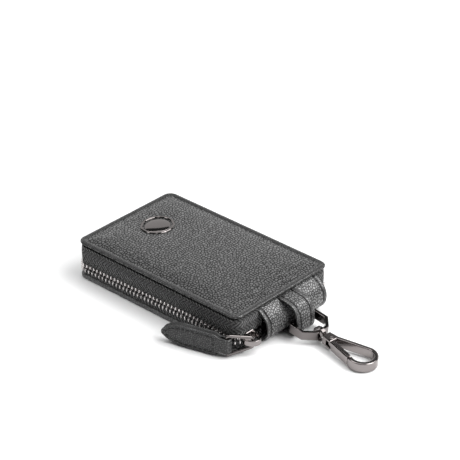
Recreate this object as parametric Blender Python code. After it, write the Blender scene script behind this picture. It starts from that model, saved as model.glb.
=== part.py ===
"""Zip-around key case with a strap ring and a swivel snap hook, in metres, +Z up.

The case lies closed on its bottom cover. The origin is the middle of the underside, +X runs
along the case to its spine, ring and hook, and -Y is the long side where the pull tab lies.
"""

import math

import bmesh
import bpy
from mathutils import Matrix

# Fit between neighbours
GAP = 0.0003
OVERRUN = 0.001

# Case body
CASE_LENGTH = 0.112
CASE_WIDTH = 0.070
CASE_HEIGHT = 0.022
CORNER_RADIUS = 0.005
CORNER_STEPS = 5
BOTTOM_HEIGHT = 0.0026
FLOOR_THICKNESS = 0.0016
RIM_THICKNESS = 0.0015
TOP_THICKNESS = 0.0024
TOP_EDGE_ROUND = 0.0024
LINING_THICKNESS = 0.0007
BOTTOM_EDGE_SHARES = ((0.92, 0.0), (0.36, 0.16), (0.08, 0.45), (0.0, 0.75), (0.12, 1.0))
TOP_EDGE_SHARES = ((0.42, 0.0), (0.08, 0.14), (0.0, 0.42), (0.08, 0.70), (0.42, 0.93), (1.0, 1.0))

# Zip tape and chain
TAPE_THICKNESS = 0.001
TAPE_RECESS = 0.0022
CHAIN_RECESS = 0.0008
CHAIN_LOW = 0.0067
CHAIN_HIGH = 0.0087
CHAIN_AT_SLIDER = 0.0080
CHAIN_DIP_START = 0.030
CHAIN_DIP_END = 0.010
CHAIN_HALF_WIDTH = 0.0025
TOOTH_PITCH = 0.00255
TOOTH_WIDTH = 0.0009
TOOTH_REACH = 0.0005
TOOTH_THICKNESS = 0.0024
TOOTH_STANDOUT = 0.0002
TEETH_START_ANGLE = math.radians(52)
BEAD_WIDTH = 0.0014
BEAD_HEIGHT = 0.0010
BEAD_SETBACK = 0.0002
TAPE_TUCK = 0.0026
STOP_LENGTH = 0.0014
STRAIGHT_STEPS = 10

# Spine panel, an elliptical bulge between the covers
SPINE_NEAR_MARGIN = 0.0166
SPINE_FAR_MARGIN = 0.0086
SPINE_THICKNESS = 0.0014
SPINE_SET_BACK = 0.0015
SPINE_BULGE = 0.0078
SPINE_BOTTOM = 0.0005
SPINE_STEPS = 16
SPINE_LOWER_ANGLE = math.radians(-72)

# Ring and the strap that holds it
RING_PIVOT_OUT = 0.0087
RING_MIDDLE_Y = 0.0036
RING_TILT = math.radians(7.5)
RING_BAR_HEIGHT = 0.0048
RING_BAR_THICKNESS = 0.0018
RING_LENGTH = 0.0152
RING_WIDTH = 0.0198
RING_END_WIDTH = 0.0082
RING_CLIP = 0.0055
RING_NEAR_CLIP = 0.0014
RING_EDGE_BEVEL = 0.0003
STRAP_WIDTH = 0.0135
STRAP_THICKNESS = 0.0013
STRAP_MIDDLE_Y = 0.0026
STRAP_LIFT = 0.0010
STRAP_SLACK = 0.0016
STRAP_RISE_SHARE = 0.8
STRAP_REACH_SHARE = 0.2
STRAP_STEPS = 12

# Slider and its bail
SLIDER_FROM_NEAR = 0.0076
SLIDER_LENGTH = 0.0060
SLIDER_WIDTH = 0.0068
SLIDER_PLATE = 0.0010
SLIDER_FOOT_LENGTH = 0.004
SLIDER_FOOT_WIDTH = 0.0050
SLIDER_NECK_LENGTH = 0.0016
SLIDER_NECK_WIDTH = 0.0024
SLIDER_CLIP = 0.0016
BAIL_DROP = 0.0009
BAIL_BAND = 0.003
BAIL_REACH = 0.0053
BAIL_THICKNESS = 0.0012
BAIL_LENGTH = 0.0080
BAIL_STEPS = 12

# Puller loop and leather tab
LOOP_WIRE = 0.0016
LOOP_AXIS_OUT = 0.0043
LOOP_AXIS_FROM_NEAR = 0.0071
LOOP_BAR_SET_BACK = 0.0030
LOOP_BAR_OUT = 0.0037
LOOP_WIDE_BOTTOM = 0.0014
LOOP_WIDE_TOP = 0.0126
LOOP_CORNER = 0.0014
TAB_ANGLE = math.radians(-164)
TAB_LENGTH = 0.0356
TAB_WIDTH = 0.0120
TAB_THICKNESS = 0.0042
TAB_BOTTOM = 0.0004
TAB_LEATHER = 0.0014
TAB_BODY_START = 0.0036
TAB_NECK_WIDTH = 0.0082
TAB_SHOULDER = 0.0030
TAB_SHOULDER_SHARE = 0.333
TAB_TAPER = 0.0135
TAB_TIP_POWER = 0.62
TAB_TIP_STEPS = 8

# Snap hook, along its own length from the middle of the eye
HOOK_EYE_Y = 0.0023
HOOK_YAW = math.radians(-6)
HOOK_PITCH = math.radians(3.4)
EYE_WALL = 0.0010
EYE_WIDTH = 0.0026
SHANK_RADIUS = 0.0009
SHANK_HEAD_RADIUS = 0.0016
SHANK_HEAD_LENGTH = 0.0007
HOOK_HEIGHT = 0.0052
BOSS_WIDTH = 0.0064
BOSS_FRONT_WIDTH = 0.0050
BOSS_LENGTH = 0.0060
BOSS_WALL = 0.0010
HOOK_TIP = 0.0359
HOOK_END_MIDDLE = 0.0280
HOOK_END_OFFSET = 0.0017
HOOK_END_HALF_WIDTH = 0.0079
HOOK_LIMB = 0.0023
HOOK_END_TURN = math.radians(100)
GATE_PIN_BACK = 0.0015
GATE_PIN_OFFSET = -0.0009
GATE_PIN_RADIUS = 0.0007
GATE_PIN_HEAD = 0.0012
GATE_PIN_HEAD_HEIGHT = 0.0003
GATE_TONGUE_RADIUS = 0.0015
GATE_TONGUE_HEIGHT = 0.0024
GATE_TONGUE_TURN = math.radians(243)
GATE_TONGUE_SHARES = (0.125, 0.875)
GATE_THICKNESS = 0.0022
GATE_HEIGHT = 0.0050
GATE_END = 0.0246
GATE_END_SLANT = 0.0004
HOOK_STEPS = 16

# Key rail and its hooks
KEY_COUNT = 4
KEY_PITCH = 0.0108
KEY_ROD_SET_BACK = 0.012
KEY_ROD_RADIUS = 0.0008
KEY_ROD_HEIGHT = 0.0037
KEY_ROD_HEAD_RADIUS = 0.0015
KEY_ROD_HEAD_LENGTH = 0.0008
KEY_PLATE_WIDTH = 0.0085
KEY_PLATE_SET_BACK = 0.0022
KEY_PLATE_THICKNESS = 0.0009
KEY_POST_THICKNESS = 0.0012
KEY_POST_WIDTH = 0.0044
KEY_EYE_WALL = 0.0010
KEY_EYE_WIDTH = 0.0024
KEY_WIRE = 0.0016
KEY_STEM = 0.0075
KEY_LOOP_LENGTH = 0.0170
KEY_LOOP_WIDTH = 0.0080
KEY_MOUTH = 0.0030
KEY_CORNER_SHARE = 0.9
RIVET_RADIUS = 0.0010
RIVET_HEAD_RADIUS = 0.0015
RIVET_HEAD_HEIGHT = 0.0005
RIVET_SPACING = 0.0260

# Badge, a plain oval frame round a plain oval dome
BADGE_FROM_END = 0.0216
BADGE_Y = 0.0031
BADGE_LENGTH = 0.0170
BADGE_WIDTH = 0.0190
BADGE_RIM = 0.0013
BADGE_HEIGHT = 0.0008
BADGE_DOME_GAP = 0.0007
BADGE_DOME_SHARES = ((1.0, 0.0), (0.96, 0.55), (0.78, 0.85), (0.45, 1.0))
OVAL_STEPS = 32

ROUND_STEPS = 20
BEND_STEPS = 4
WIRE_SIDES = 8

HALF_LENGTH = CASE_LENGTH / 2
HALF_WIDTH = CASE_WIDTH / 2
SPINE_CENTRE_X = HALF_LENGTH - SPINE_SET_BACK
RING_PIVOT_X = HALF_LENGTH + RING_PIVOT_OUT
KEY_ROD_X = HALF_LENGTH - KEY_ROD_SET_BACK
BADGE_X = BADGE_FROM_END - HALF_LENGTH
SLIDER_Y = SLIDER_FROM_NEAR - HALF_WIDTH
LOOP_AXIS_X = HALF_LENGTH + LOOP_AXIS_OUT
LOOP_AXIS_Y = LOOP_AXIS_FROM_NEAR - HALF_WIDTH
LOOP_BAR_X = HALF_LENGTH - LOOP_BAR_SET_BACK
LOOP_BAR_Y = -HALF_WIDTH - LOOP_BAR_OUT
TOP_UNDERSIDE = CASE_HEIGHT - TOP_THICKNESS
LID_LINING_TOP = TOP_UNDERSIDE - GAP
LINING_INSET = TAPE_RECESS + TAPE_THICKNESS + GAP
FLOOR_LINING_TOP = FLOOR_THICKNESS + GAP + LINING_THICKNESS


def material(name, colour, roughness, metallic):
    """A Principled material with one colour."""
    made = bpy.data.materials.new(name)
    made.use_nodes = True
    shader = made.node_tree.nodes["Principled BSDF"]
    shader.inputs["Base Color"].default_value = (*colour, 1.0)
    shader.inputs["Roughness"].default_value = roughness
    shader.inputs["Metallic"].default_value = metallic
    return made


def leather(name):
    """Charcoal grained leather."""
    return material(name + "_leather", (0.075, 0.078, 0.082), 0.55, 0.0)


def fabric(name):
    """Black woven zip tape or lining."""
    return material(name + "_fabric", (0.018, 0.019, 0.021), 0.8, 0.0)


def gunmetal(name):
    """Polished dark nickel."""
    return material(name + "_gunmetal", (0.42, 0.39, 0.385), 0.18, 1.0)


def solid(name, faces, vertices, paint, smooth_below=math.radians(40)):
    """One closed mesh object from points and faces, with its faces turned outwards."""
    mesh = bpy.data.meshes.new(name)
    build = bmesh.new()
    made = [build.verts.new(point) for point in vertices]
    for face in faces:
        build.faces.new([made[index] for index in face])
    bmesh.ops.recalc_face_normals(build, faces=build.faces)
    build.to_mesh(mesh)
    build.free()
    mesh.shade_smooth()
    mesh.set_sharp_from_angle(angle=smooth_below)
    mesh.materials.append(paint)
    shape = bpy.data.objects.new(name, mesh)
    bpy.context.scene.collection.objects.link(shape)
    return shape


def loft_faces(ring_count, side_count, closed, first=0):
    """Quads that join rings of points, with a cap at each end unless the rings close on themselves."""
    faces = []
    joins = ring_count if closed else ring_count - 1
    for ring in range(joins):
        here = first + ring * side_count
        there = first + ((ring + 1) % ring_count) * side_count
        for side in range(side_count):
            after = (side + 1) % side_count
            faces.append((here + side, here + after, there + after, there + side))
    if not closed:
        faces.append(tuple(range(first, first + side_count)))
        last = first + (ring_count - 1) * side_count
        faces.append(tuple(range(last, last + side_count)))
    return faces


def loft(name, rings, paint, closed=False):
    """A solid through rings of points, capped at its ends or closed into a loop."""
    points = [point for ring in rings for point in ring]
    return solid(name, loft_faces(len(rings), len(rings[0]), closed), points, paint)


def slab(name, outline, low, high, paint):
    """An outline of x and y, made solid between two heights."""
    rings = [[(x, y, height) for x, y in outline] for height in (low, high)]
    return loft(name, rings, paint)


def upright(name, outline, near, far, paint):
    """An outline of x and z, made solid between two y values."""
    rings = [[(x, y, z) for x, z in outline] for y in (near, far)]
    return loft(name, rings, paint)


def hollow_slab(name, outer, inner, low, high, paint):
    """The wall between two outlines with as many points each, made solid between two heights."""
    rings = []
    for outline, height in ((outer, low), (outer, high), (inner, high), (inner, low)):
        rings.append([(x, y, height) for x, y in outline])
    return loft(name, rings, paint, closed=True)


def rod(name, start, end, radius, paint, steps=ROUND_STEPS):
    """A round bar between two points that differ along one axis."""
    along = [b - a for a, b in zip(start, end)]
    axis = max(range(3), key=lambda index: abs(along[index]))
    side, up = ((1, 2), (2, 0), (0, 1))[axis]
    rings = []
    for centre in (start, end):
        ring = []
        for step in range(steps):
            turn = math.tau * step / steps
            point = list(centre)
            point[side] += radius * math.cos(turn)
            point[up] += radius * math.sin(turn)
            ring.append(tuple(point))
        rings.append(ring)
    return loft(name, rings, paint)


def box(name, low, high, paint):
    """A block between two corners."""
    outline = [(low[0], low[1]), (high[0], low[1]), (high[0], high[1]), (low[0], high[1])]
    return slab(name, outline, low[2], high[2], paint)


def arc(centre, radius_x, radius_y, start, end, steps):
    """Points on part of an ellipse."""
    points = []
    for step in range(steps + 1):
        turn = start + (end - start) * step / steps
        points.append((centre[0] + radius_x * math.cos(turn), centre[1] + radius_y * math.sin(turn)))
    return points


def oval(centre_x, centre_y, length, width):
    """A whole ellipse."""
    points = arc((centre_x, centre_y), length / 2, width / 2, 0.0, math.tau, OVAL_STEPS)
    return points[:-1]


def planar_wire(path, radius, place, closed, sides=WIRE_SIDES):
    """Rings of a round wire along a flat path. place turns path coordinates and a lift into x, y, z."""
    rings = []
    count = len(path)
    for index, (u, v) in enumerate(path):
        before = path[index - 1] if closed or index else path[index]
        after = path[(index + 1) % count] if closed or index < count - 1 else path[index]
        run = math.hypot(after[0] - before[0], after[1] - before[1])
        side_u, side_v = (before[1] - after[1]) / run, (after[0] - before[0]) / run
        ring = []
        for step in range(sides):
            turn = math.tau * (step + 0.5) / sides
            shift = radius * math.cos(turn)
            ring.append(place(u + side_u * shift, v + side_v * shift, radius * math.sin(turn)))
        rings.append(ring)
    return rings


def rounded_path(corners, radius, steps, closed):
    """A flat path through corners, each rounded by an arc-like curve that starts radius before it."""
    path = []
    count = len(corners)
    for index, (x, y) in enumerate(corners):
        if not closed and index in (0, count - 1):
            path.append((x, y))
            continue
        ends = []
        for other in (corners[index - 1], corners[(index + 1) % count]):
            run = math.hypot(other[0] - x, other[1] - y)
            ends.append((x + (other[0] - x) * radius / run, y + (other[1] - y) * radius / run))
        for step in range(steps + 1):
            share = step / steps
            weights = ((1 - share) ** 2, 2 * share * (1 - share), share ** 2)
            trio = (ends[0], (x, y), ends[1])
            path.append(tuple(sum(w * p[axis] for w, p in zip(weights, trio)) for axis in (0, 1)))
    return path


def inset_polygon(outline, distance):
    """A convex outline, given anticlockwise, with each side moved inwards."""
    moved = []
    count = len(outline)
    for index, point in enumerate(outline):
        before, after = outline[index - 1], outline[(index + 1) % count]
        first = math.atan2(point[1] - before[1], point[0] - before[0])
        second = math.atan2(after[1] - point[1], after[0] - point[0])
        half = ((second - first) % math.tau) / 2
        middle = first + half + math.pi / 2
        reach = distance / math.cos(half)
        moved.append((point[0] + reach * math.cos(middle), point[1] + reach * math.sin(middle)))
    return moved


def combine(target, tool, operation):
    """Join a tool to the target, or cut it away or keep only what both hold, with a Boolean."""
    tool.hide_render = True
    tool.display_type = "WIRE"
    cut = target.modifiers.new(tool.name, "BOOLEAN")
    cut.object = tool
    cut.operation = operation
    cut.solver = "EXACT"


def case_outline(inset):
    """The case's rounded rectangle, anticlockwise, moved inwards by the inset."""
    radius = CORNER_RADIUS - inset
    points = []
    for quarter in range(4):
        turn = quarter * math.pi / 2
        sign_x = 1 if quarter in (0, 3) else -1
        sign_y = 1 if quarter in (0, 1) else -1
        centre = (sign_x * (HALF_LENGTH - CORNER_RADIUS), sign_y * (HALF_WIDTH - CORNER_RADIUS))
        points += arc(centre, radius, radius, turn, turn + math.pi / 2, CORNER_STEPS)
    return points


def case_ring(inset, height):
    """The case outline at one inset and height."""
    return [(x, y, height) for x, y in case_outline(inset)]


def bottom_cover():
    """A shallow leather tray: rounded under-edge, low rim and flat floor."""
    rings = []
    for inset, height in BOTTOM_EDGE_SHARES:
        rings.append(case_ring(inset * RIM_THICKNESS, height * BOTTOM_HEIGHT))
    rings.append(case_ring(RIM_THICKNESS, BOTTOM_HEIGHT))
    rings.append(case_ring(RIM_THICKNESS, FLOOR_THICKNESS))
    return loft("bottom_cover", rings, leather("bottom_cover"))


def top_cover():
    """The padded top panel with its rolled rim."""
    rings = []
    for inset, height in TOP_EDGE_SHARES:
        rings.append(case_ring(inset * TOP_EDGE_ROUND, TOP_UNDERSIDE + height * TOP_THICKNESS))
    return loft("top_cover", rings, leather("top_cover"))


def lining(name, low):
    """A thin lining inside the tape walls."""
    rings = [case_ring(LINING_INSET, low), case_ring(LINING_INSET, low + LINING_THICKNESS)]
    return loft(name, rings, fabric(name))


def chain_height(x):
    """Middle of the chain above the table: it climbs along the case and dips towards the slider."""
    start, end = HALF_LENGTH - CHAIN_DIP_START, HALF_LENGTH - CHAIN_DIP_END
    if x < start:
        share = max(0.0, (x + HALF_LENGTH) / (start + HALF_LENGTH))
        return CHAIN_LOW + (CHAIN_HIGH - CHAIN_LOW) * share
    share = min(1.0, (x - start) / (end - start))
    smooth = share * share * (3 - 2 * share)
    return CHAIN_HIGH + (CHAIN_AT_SLIDER - CHAIN_HIGH) * smooth


def spine_edge(side):
    """The y of the spine's near (-1) or far (1) edge."""
    return SPINE_NEAR_MARGIN - HALF_WIDTH if side < 0 else HALF_WIDTH - SPINE_FAR_MARGIN


def track_runs():
    """Straight runs of the zip's track, between its quarter-round corners."""
    corner_y = HALF_WIDTH - CORNER_RADIUS
    near = corner_y + spine_edge(-1) + TAPE_TUCK
    far = corner_y - spine_edge(1) + TAPE_TUCK
    long_run = CASE_LENGTH - 2 * CORNER_RADIUS
    return near, long_run, 2 * corner_y, long_run, far


def track(distance):
    """Place on the case outline and its outward angle, measured from the zip's near end."""
    x, y, angle = HALF_LENGTH, spine_edge(-1) + TAPE_TUCK, 0.0
    for run in track_runs():
        step = min(distance, run)
        x += step * math.sin(angle)
        y -= step * math.cos(angle)
        distance -= step
        if distance <= 0.0:
            break
        turn = min(distance / CORNER_RADIUS, math.pi / 2)
        centre_x = x - CORNER_RADIUS * math.cos(angle)
        centre_y = y - CORNER_RADIUS * math.sin(angle)
        angle -= turn
        x = centre_x + CORNER_RADIUS * math.cos(angle)
        y = centre_y + CORNER_RADIUS * math.sin(angle)
        distance -= turn * CORNER_RADIUS
        if distance <= 0.0:
            break
    return x, y, angle


def track_length():
    """Whole length of the zip's track."""
    return sum(track_runs()) + 4 * CORNER_RADIUS * math.pi / 2


def track_stations():
    """Distances along the track for the sections of the tapes."""
    stations = [0.0]
    runs = track_runs()
    for index, run in enumerate(runs):
        start = stations[-1]
        stations += [start + run * (step + 1) / STRAIGHT_STEPS for step in range(STRAIGHT_STEPS)]
        if index < len(runs) - 1:
            start = stations[-1]
            quarter = CORNER_RADIUS * math.pi / 2
            stations += [start + quarter * (step + 1) / CORNER_STEPS for step in range(CORNER_STEPS)]
    return stations


def on_track(distance, outset, height):
    """A point beside the track: outset is outwards of the case outline."""
    x, y, angle = track(distance)
    return (x + outset * math.cos(angle), y + outset * math.sin(angle), height)


def lower_tape():
    """The tape wall from the floor up to the lower teeth, bulging out over the rim."""
    rings = []
    foot = FLOOR_THICKNESS + GAP
    for distance in track_stations():
        top = chain_height(track(distance)[0]) - CHAIN_HALF_WIDTH - GAP
        bend = min(BOTTOM_HEIGHT - GAP, (foot + top) / 2)
        profile = (
            (-TAPE_RECESS, foot),
            (-TAPE_RECESS, bend),
            (-CHAIN_RECESS, top),
            (-CHAIN_RECESS - TAPE_THICKNESS, top),
            (-TAPE_RECESS - TAPE_THICKNESS, bend),
            (-TAPE_RECESS - TAPE_THICKNESS, foot),
        )
        rings.append([on_track(distance, outset, height) for outset, height in profile])
    return loft("lower_zip_tape", rings, fabric("lower_zip_tape"))


def upper_tape():
    """The tape wall from the upper teeth to the underside of the top cover."""
    rings = []
    top = TOP_UNDERSIDE - GAP
    for distance in track_stations():
        bottom = chain_height(track(distance)[0]) + CHAIN_HALF_WIDTH + GAP
        profile = (
            (-CHAIN_RECESS, bottom),
            (-TAPE_RECESS, top),
            (-TAPE_RECESS - TAPE_THICKNESS, top),
            (-CHAIN_RECESS - TAPE_THICKNESS, bottom),
        )
        rings.append([on_track(distance, outset, height) for outset, height in profile])
    return loft("upper_zip_tape", rings, fabric("upper_zip_tape"))


def chain_block(start, length, low, high):
    """Two rings of four points: a block across the tape's edge, its sides square to the track."""
    rings = []
    for height in (low, high):
        ring = []
        for distance, outset in (
            (start, TOOTH_STANDOUT),
            (start + length, TOOTH_STANDOUT),
            (start + length, TOOTH_STANDOUT - TOOTH_THICKNESS),
            (start, TOOTH_STANDOUT - TOOTH_THICKNESS),
        ):
            ring.append(on_track(distance, outset, height))
        rings.append(ring)
    return rings


def chain_section(distance, thickness, outer_edge, inner_edge):
    """Four points of a section across the tape's edge, between two heights from the chain's middle."""
    middle = chain_height(track(distance)[0])
    centre = TOOTH_STANDOUT - TOOTH_THICKNESS / 2
    places = ((1, outer_edge), (1, inner_edge), (-1, inner_edge), (-1, outer_edge))
    return [on_track(distance, centre + side * thickness / 2, middle + edge) for side, edge in places]


def teeth(name, side, distances):
    """One row of teeth clenched on its bead: side is 1 for the upper row and -1 for the lower."""
    bead_edge = side * (CHAIN_HALF_WIDTH - BEAD_SETBACK)
    bead = (BEAD_WIDTH, bead_edge, bead_edge - side * BEAD_HEIGHT)
    tooth = (TOOTH_THICKNESS, side * CHAIN_HALF_WIDTH, -side * TOOTH_REACH)
    rings = []
    for distance in distances:
        start, end = distance - TOOTH_WIDTH / 2, distance + TOOTH_WIDTH / 2
        for place, shape in ((start, bead), (start, tooth), (end, tooth), (end, bead)):
            rings.append(chain_section(place, *shape))
    return loft(name, rings[1:-1], gunmetal(name))


def zip_teeth():
    """Both rows, half a pitch apart, from the near corner, clear of the slider, to the far stops."""
    start = track_runs()[0] + CORNER_RADIUS * TEETH_START_ANGLE
    end = track_length() - TAPE_TUCK - STOP_LENGTH - TOOTH_PITCH
    count = int((end - start) / TOOTH_PITCH)
    lower = [start + TOOTH_PITCH * index for index in range(count)]
    teeth("lower_zip_teeth", -1, lower)
    teeth("upper_zip_teeth", 1, [distance + TOOTH_PITCH / 2 for distance in lower])


def zip_stop(name, side, start):
    """A metal stop clenched on one tape's edge."""
    middle = chain_height(track(start)[0])
    ends = sorted((middle + side * GAP, middle + side * CHAIN_HALF_WIDTH))
    return loft(name, chain_block(start, STOP_LENGTH, *ends), gunmetal(name))


def zip_stops():
    """A stop at each end of each tape, just outside the spine's edges."""
    for place, start in (("near", TAPE_TUCK), ("far", track_length() - TAPE_TUCK - STOP_LENGTH)):
        zip_stop("lower_zip_stop_" + place, -1, start)
        zip_stop("upper_zip_stop_" + place, 1, start)


def spine_curve(setback):
    """The spine's profile in x and z, from under the top cover down to the bottom cover."""
    top = LID_LINING_TOP - STRAP_THICKNESS - GAP
    centre = (SPINE_CENTRE_X, (top + SPINE_BOTTOM) / 2)
    half = (top - SPINE_BOTTOM) / 2
    return arc(centre, SPINE_BULGE - setback, half - setback, math.pi / 2, SPINE_LOWER_ANGLE, SPINE_STEPS)


def spine_reach(height):
    """The x of the spine's outer face at a height in its lower half."""
    half = (LID_LINING_TOP - STRAP_THICKNESS - GAP - SPINE_BOTTOM) / 2
    below = (SPINE_BOTTOM + half - height) / half
    return SPINE_CENTRE_X + SPINE_BULGE * math.sqrt(1 - below ** 2)


def spine_panel():
    """The leather spine that joins the covers at the ring's end."""
    outline = spine_curve(0.0) + spine_curve(SPINE_THICKNESS)[::-1]
    return upright("spine_panel", outline, spine_edge(-1), spine_edge(1), leather("spine_panel"))


def bar_circle():
    """Radius that the corners of the ring's bar sweep as it turns."""
    return math.hypot(RING_BAR_HEIGHT, RING_BAR_THICKNESS) / 2


def ring_pivot_z():
    """Height of the ring's near bar, which lies in the strap's fold with some slack below it."""
    return STRAP_LIFT + STRAP_THICKNESS + STRAP_SLACK + GAP + bar_circle()


def strap_curve(setback):
    """The strap's outer line: out over the spine, round the ring's near bar and back below."""
    pivot_z = ring_pivot_z()
    radius = bar_circle() + GAP + STRAP_THICKNESS
    drop = pivot_z - STRAP_LIFT
    front = RING_PIVOT_X + radius
    top = LID_LINING_TOP
    rise = pivot_z + (top - pivot_z) * STRAP_RISE_SHARE
    reach = front - (front - SPINE_CENTRE_X) * STRAP_REACH_SHARE
    ends = ((SPINE_CENTRE_X, top), (reach, top), (front, rise), (front, pivot_z))
    line, normals = [], []
    for step in range(STRAP_STEPS + 1):
        s = step / STRAP_STEPS
        weights = ((1 - s) ** 3, 3 * s * (1 - s) ** 2, 3 * s * s * (1 - s), s ** 3)
        slopes = ((1 - s) ** 2, 2 * s * (1 - s), s * s)
        line.append([sum(w * p[axis] for w, p in zip(weights, ends)) for axis in (0, 1)])
        legs = [[b[axis] - a[axis] for axis in (0, 1)] for a, b in zip(ends, ends[1:])]
        run = [sum(w * leg[axis] for w, leg in zip(slopes, legs)) for axis in (0, 1)]
        size = math.hypot(*run)
        normals.append((-run[1] / size, run[0] / size))
    points = []
    for (x, z), (nx, nz) in zip(line, normals):
        points.append((x - nx * setback, z - nz * setback))
    fold = arc((RING_PIVOT_X, pivot_z), radius - setback, drop - setback, 0.0, -math.pi / 2, STRAP_STEPS)
    points += fold[1:]
    end = spine_reach(STRAP_LIFT + STRAP_THICKNESS) + 2 * GAP
    points.append((end, STRAP_LIFT + setback))
    return points


def ring_strap():
    """The strap as one closed band."""
    outline = strap_curve(0.0) + strap_curve(STRAP_THICKNESS)[::-1]
    near, far = STRAP_MIDDLE_Y - STRAP_WIDTH / 2, STRAP_MIDDLE_Y + STRAP_WIDTH / 2
    return upright("ring_strap", outline, near, far, leather("ring_strap"))


def ring_outline():
    """The ring's outer outline from its pivot: a flat near side and two clipped far corners."""
    back = -RING_BAR_THICKNESS / 2
    front = back + RING_LENGTH
    half, end = RING_WIDTH / 2, RING_END_WIDTH / 2
    near = [(back + RING_NEAR_CLIP, -half), (front - RING_CLIP, -half), (front, -end)]
    far = [(x, -y) for x, y in near[::-1]]
    return near + far + [(back, half - RING_NEAR_CLIP), (back, -half + RING_NEAR_CLIP)]


def strap_ring():
    """The flat-bar ring, with its origin on the near bar that it turns about."""
    outer = ring_outline()
    inner = inset_polygon(outer, RING_BAR_THICKNESS)
    half = RING_BAR_HEIGHT / 2
    ring = hollow_slab("strap_ring", outer, inner, -half, half, gunmetal("strap_ring"))
    ring.location = (RING_PIVOT_X, RING_MIDDLE_Y, ring_pivot_z())
    ring.rotation_euler = (0.0, RING_TILT, 0.0)
    edge = ring.modifiers.new("edge", "BEVEL")
    edge.width = RING_EDGE_BEVEL
    edge.segments = 1
    return ring


def zip_slider():
    """The slider: an outer plate with its bail, a short inner foot and the neck between."""
    paint = gunmetal("zip_slider")
    middle = CHAIN_AT_SLIDER
    plate_low = HALF_LENGTH + GAP
    half_y, half_z = SLIDER_LENGTH / 2, SLIDER_WIDTH / 2
    clip = SLIDER_CLIP
    shield = [
        (-half_y, -half_z + clip), (-half_y + clip, -half_z), (half_y - clip, -half_z),
        (half_y, -half_z + clip), (half_y, half_z - clip), (half_y - clip, half_z),
        (-half_y + clip, half_z), (-half_y, half_z - clip),
    ]
    rings = [[(x, y, z) for y, z in shield] for x in (0.0, SLIDER_PLATE)]
    slider = loft("zip_slider", rings, paint)
    slider.location = (plate_low, SLIDER_Y, middle)
    foot_high = HALF_LENGTH - CHAIN_RECESS - TAPE_THICKNESS - GAP
    foot_low = foot_high - SLIDER_PLATE
    half_foot, half_foot_z = SLIDER_FOOT_LENGTH / 2, SLIDER_FOOT_WIDTH / 2
    foot = box(
        "zip_slider_foot",
        (foot_low - plate_low, -half_foot, -half_foot_z),
        (foot_high - plate_low, half_foot, half_foot_z),
        paint,
    )
    half_neck, half_neck_z = SLIDER_NECK_LENGTH / 2, SLIDER_NECK_WIDTH / 2
    overlap = SLIDER_PLATE / 2
    neck = box(
        "zip_slider_neck",
        (foot_high - overlap - plate_low, -half_neck, -half_neck_z),
        (overlap, half_neck, half_neck_z),
        paint,
    )
    bail_start = SLIDER_PLATE - overlap
    reach = BAIL_REACH + overlap
    outer = arc((bail_start, 0.0), reach, BAIL_LENGTH / 2, -math.pi / 2, math.pi / 2, BAIL_STEPS)
    inner = arc(
        (bail_start, 0.0), reach - BAIL_THICKNESS, BAIL_LENGTH / 2 - BAIL_THICKNESS,
        math.pi / 2, -math.pi / 2, BAIL_STEPS,
    )
    half_band = BAIL_BAND / 2
    bail = slab("zip_slider_bail", outer + inner, -BAIL_DROP - half_band, -BAIL_DROP + half_band, paint)
    for tool in (foot, neck, bail):
        tool.parent = slider
        combine(slider, tool, "UNION")
    return slider


def loop_side_heights():
    """Heights of the loop's bars at its narrow end, just above and below the bail's band."""
    bail = CHAIN_AT_SLIDER - BAIL_DROP
    reach = BAIL_BAND / 2 + GAP + LOOP_WIRE / 2
    return bail - reach, bail + reach


def puller_loop():
    """The tapered loop, in an upright plane from the bail to the tab's fold."""
    run_x, run_y = LOOP_BAR_X - LOOP_AXIS_X, LOOP_BAR_Y - LOOP_AXIS_Y
    run = math.hypot(run_x, run_y)
    low, high = loop_side_heights()
    corners = [(0.0, low), (run, LOOP_WIDE_BOTTOM), (run, LOOP_WIDE_TOP), (0.0, high)]
    path = rounded_path(corners, LOOP_CORNER, BEND_STEPS, closed=True)

    def place(u, v, lift):
        return (
            u * run_x / run - lift * run_y / run,
            u * run_y / run + lift * run_x / run,
            v,
        )

    rings = planar_wire(path, LOOP_WIRE / 2, place, closed=True)
    loop = loft("puller_loop", rings, gunmetal("puller_loop"), closed=True)
    loop.location = (LOOP_AXIS_X, LOOP_AXIS_Y, 0.0)
    return loop


def tab_outline():
    """The tab's face in length and height: a narrow neck, shoulders, and a rounded point."""
    middle = TAB_WIDTH / 2 + TAB_BOTTOM
    neck_middle = (LOOP_WIDE_BOTTOM + LOOP_WIDE_TOP) / 2
    neck = TAB_NECK_WIDTH / 2
    half = TAB_WIDTH / 2
    back = -LOOP_WIRE / 2 - GAP - TAB_LEATHER - OVERRUN
    lower = [(back, neck_middle - neck), (TAB_BODY_START, neck_middle - neck)]
    lower.append((TAB_BODY_START + TAB_SHOULDER / 2, middle - half + TAB_SHOULDER * TAB_SHOULDER_SHARE))
    lower.append((TAB_BODY_START + TAB_SHOULDER, middle - half))
    upper = [(back, neck_middle + neck), (TAB_BODY_START, neck_middle + neck)]
    upper.append((TAB_BODY_START + TAB_SHOULDER / 2, middle + half - TAB_SHOULDER * TAB_SHOULDER_SHARE))
    upper.append((TAB_BODY_START + TAB_SHOULDER, middle + half))
    for step in range(TAB_TIP_STEPS):
        share = step / TAB_TIP_STEPS
        width = half * (1 - share ** 2) ** TAB_TIP_POWER
        along = TAB_LENGTH - TAB_TAPER * (1 - share)
        lower.append((along, middle - width))
        upper.append((along, middle + width))
    return lower + [(TAB_LENGTH, middle)] + upper[::-1]


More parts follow.
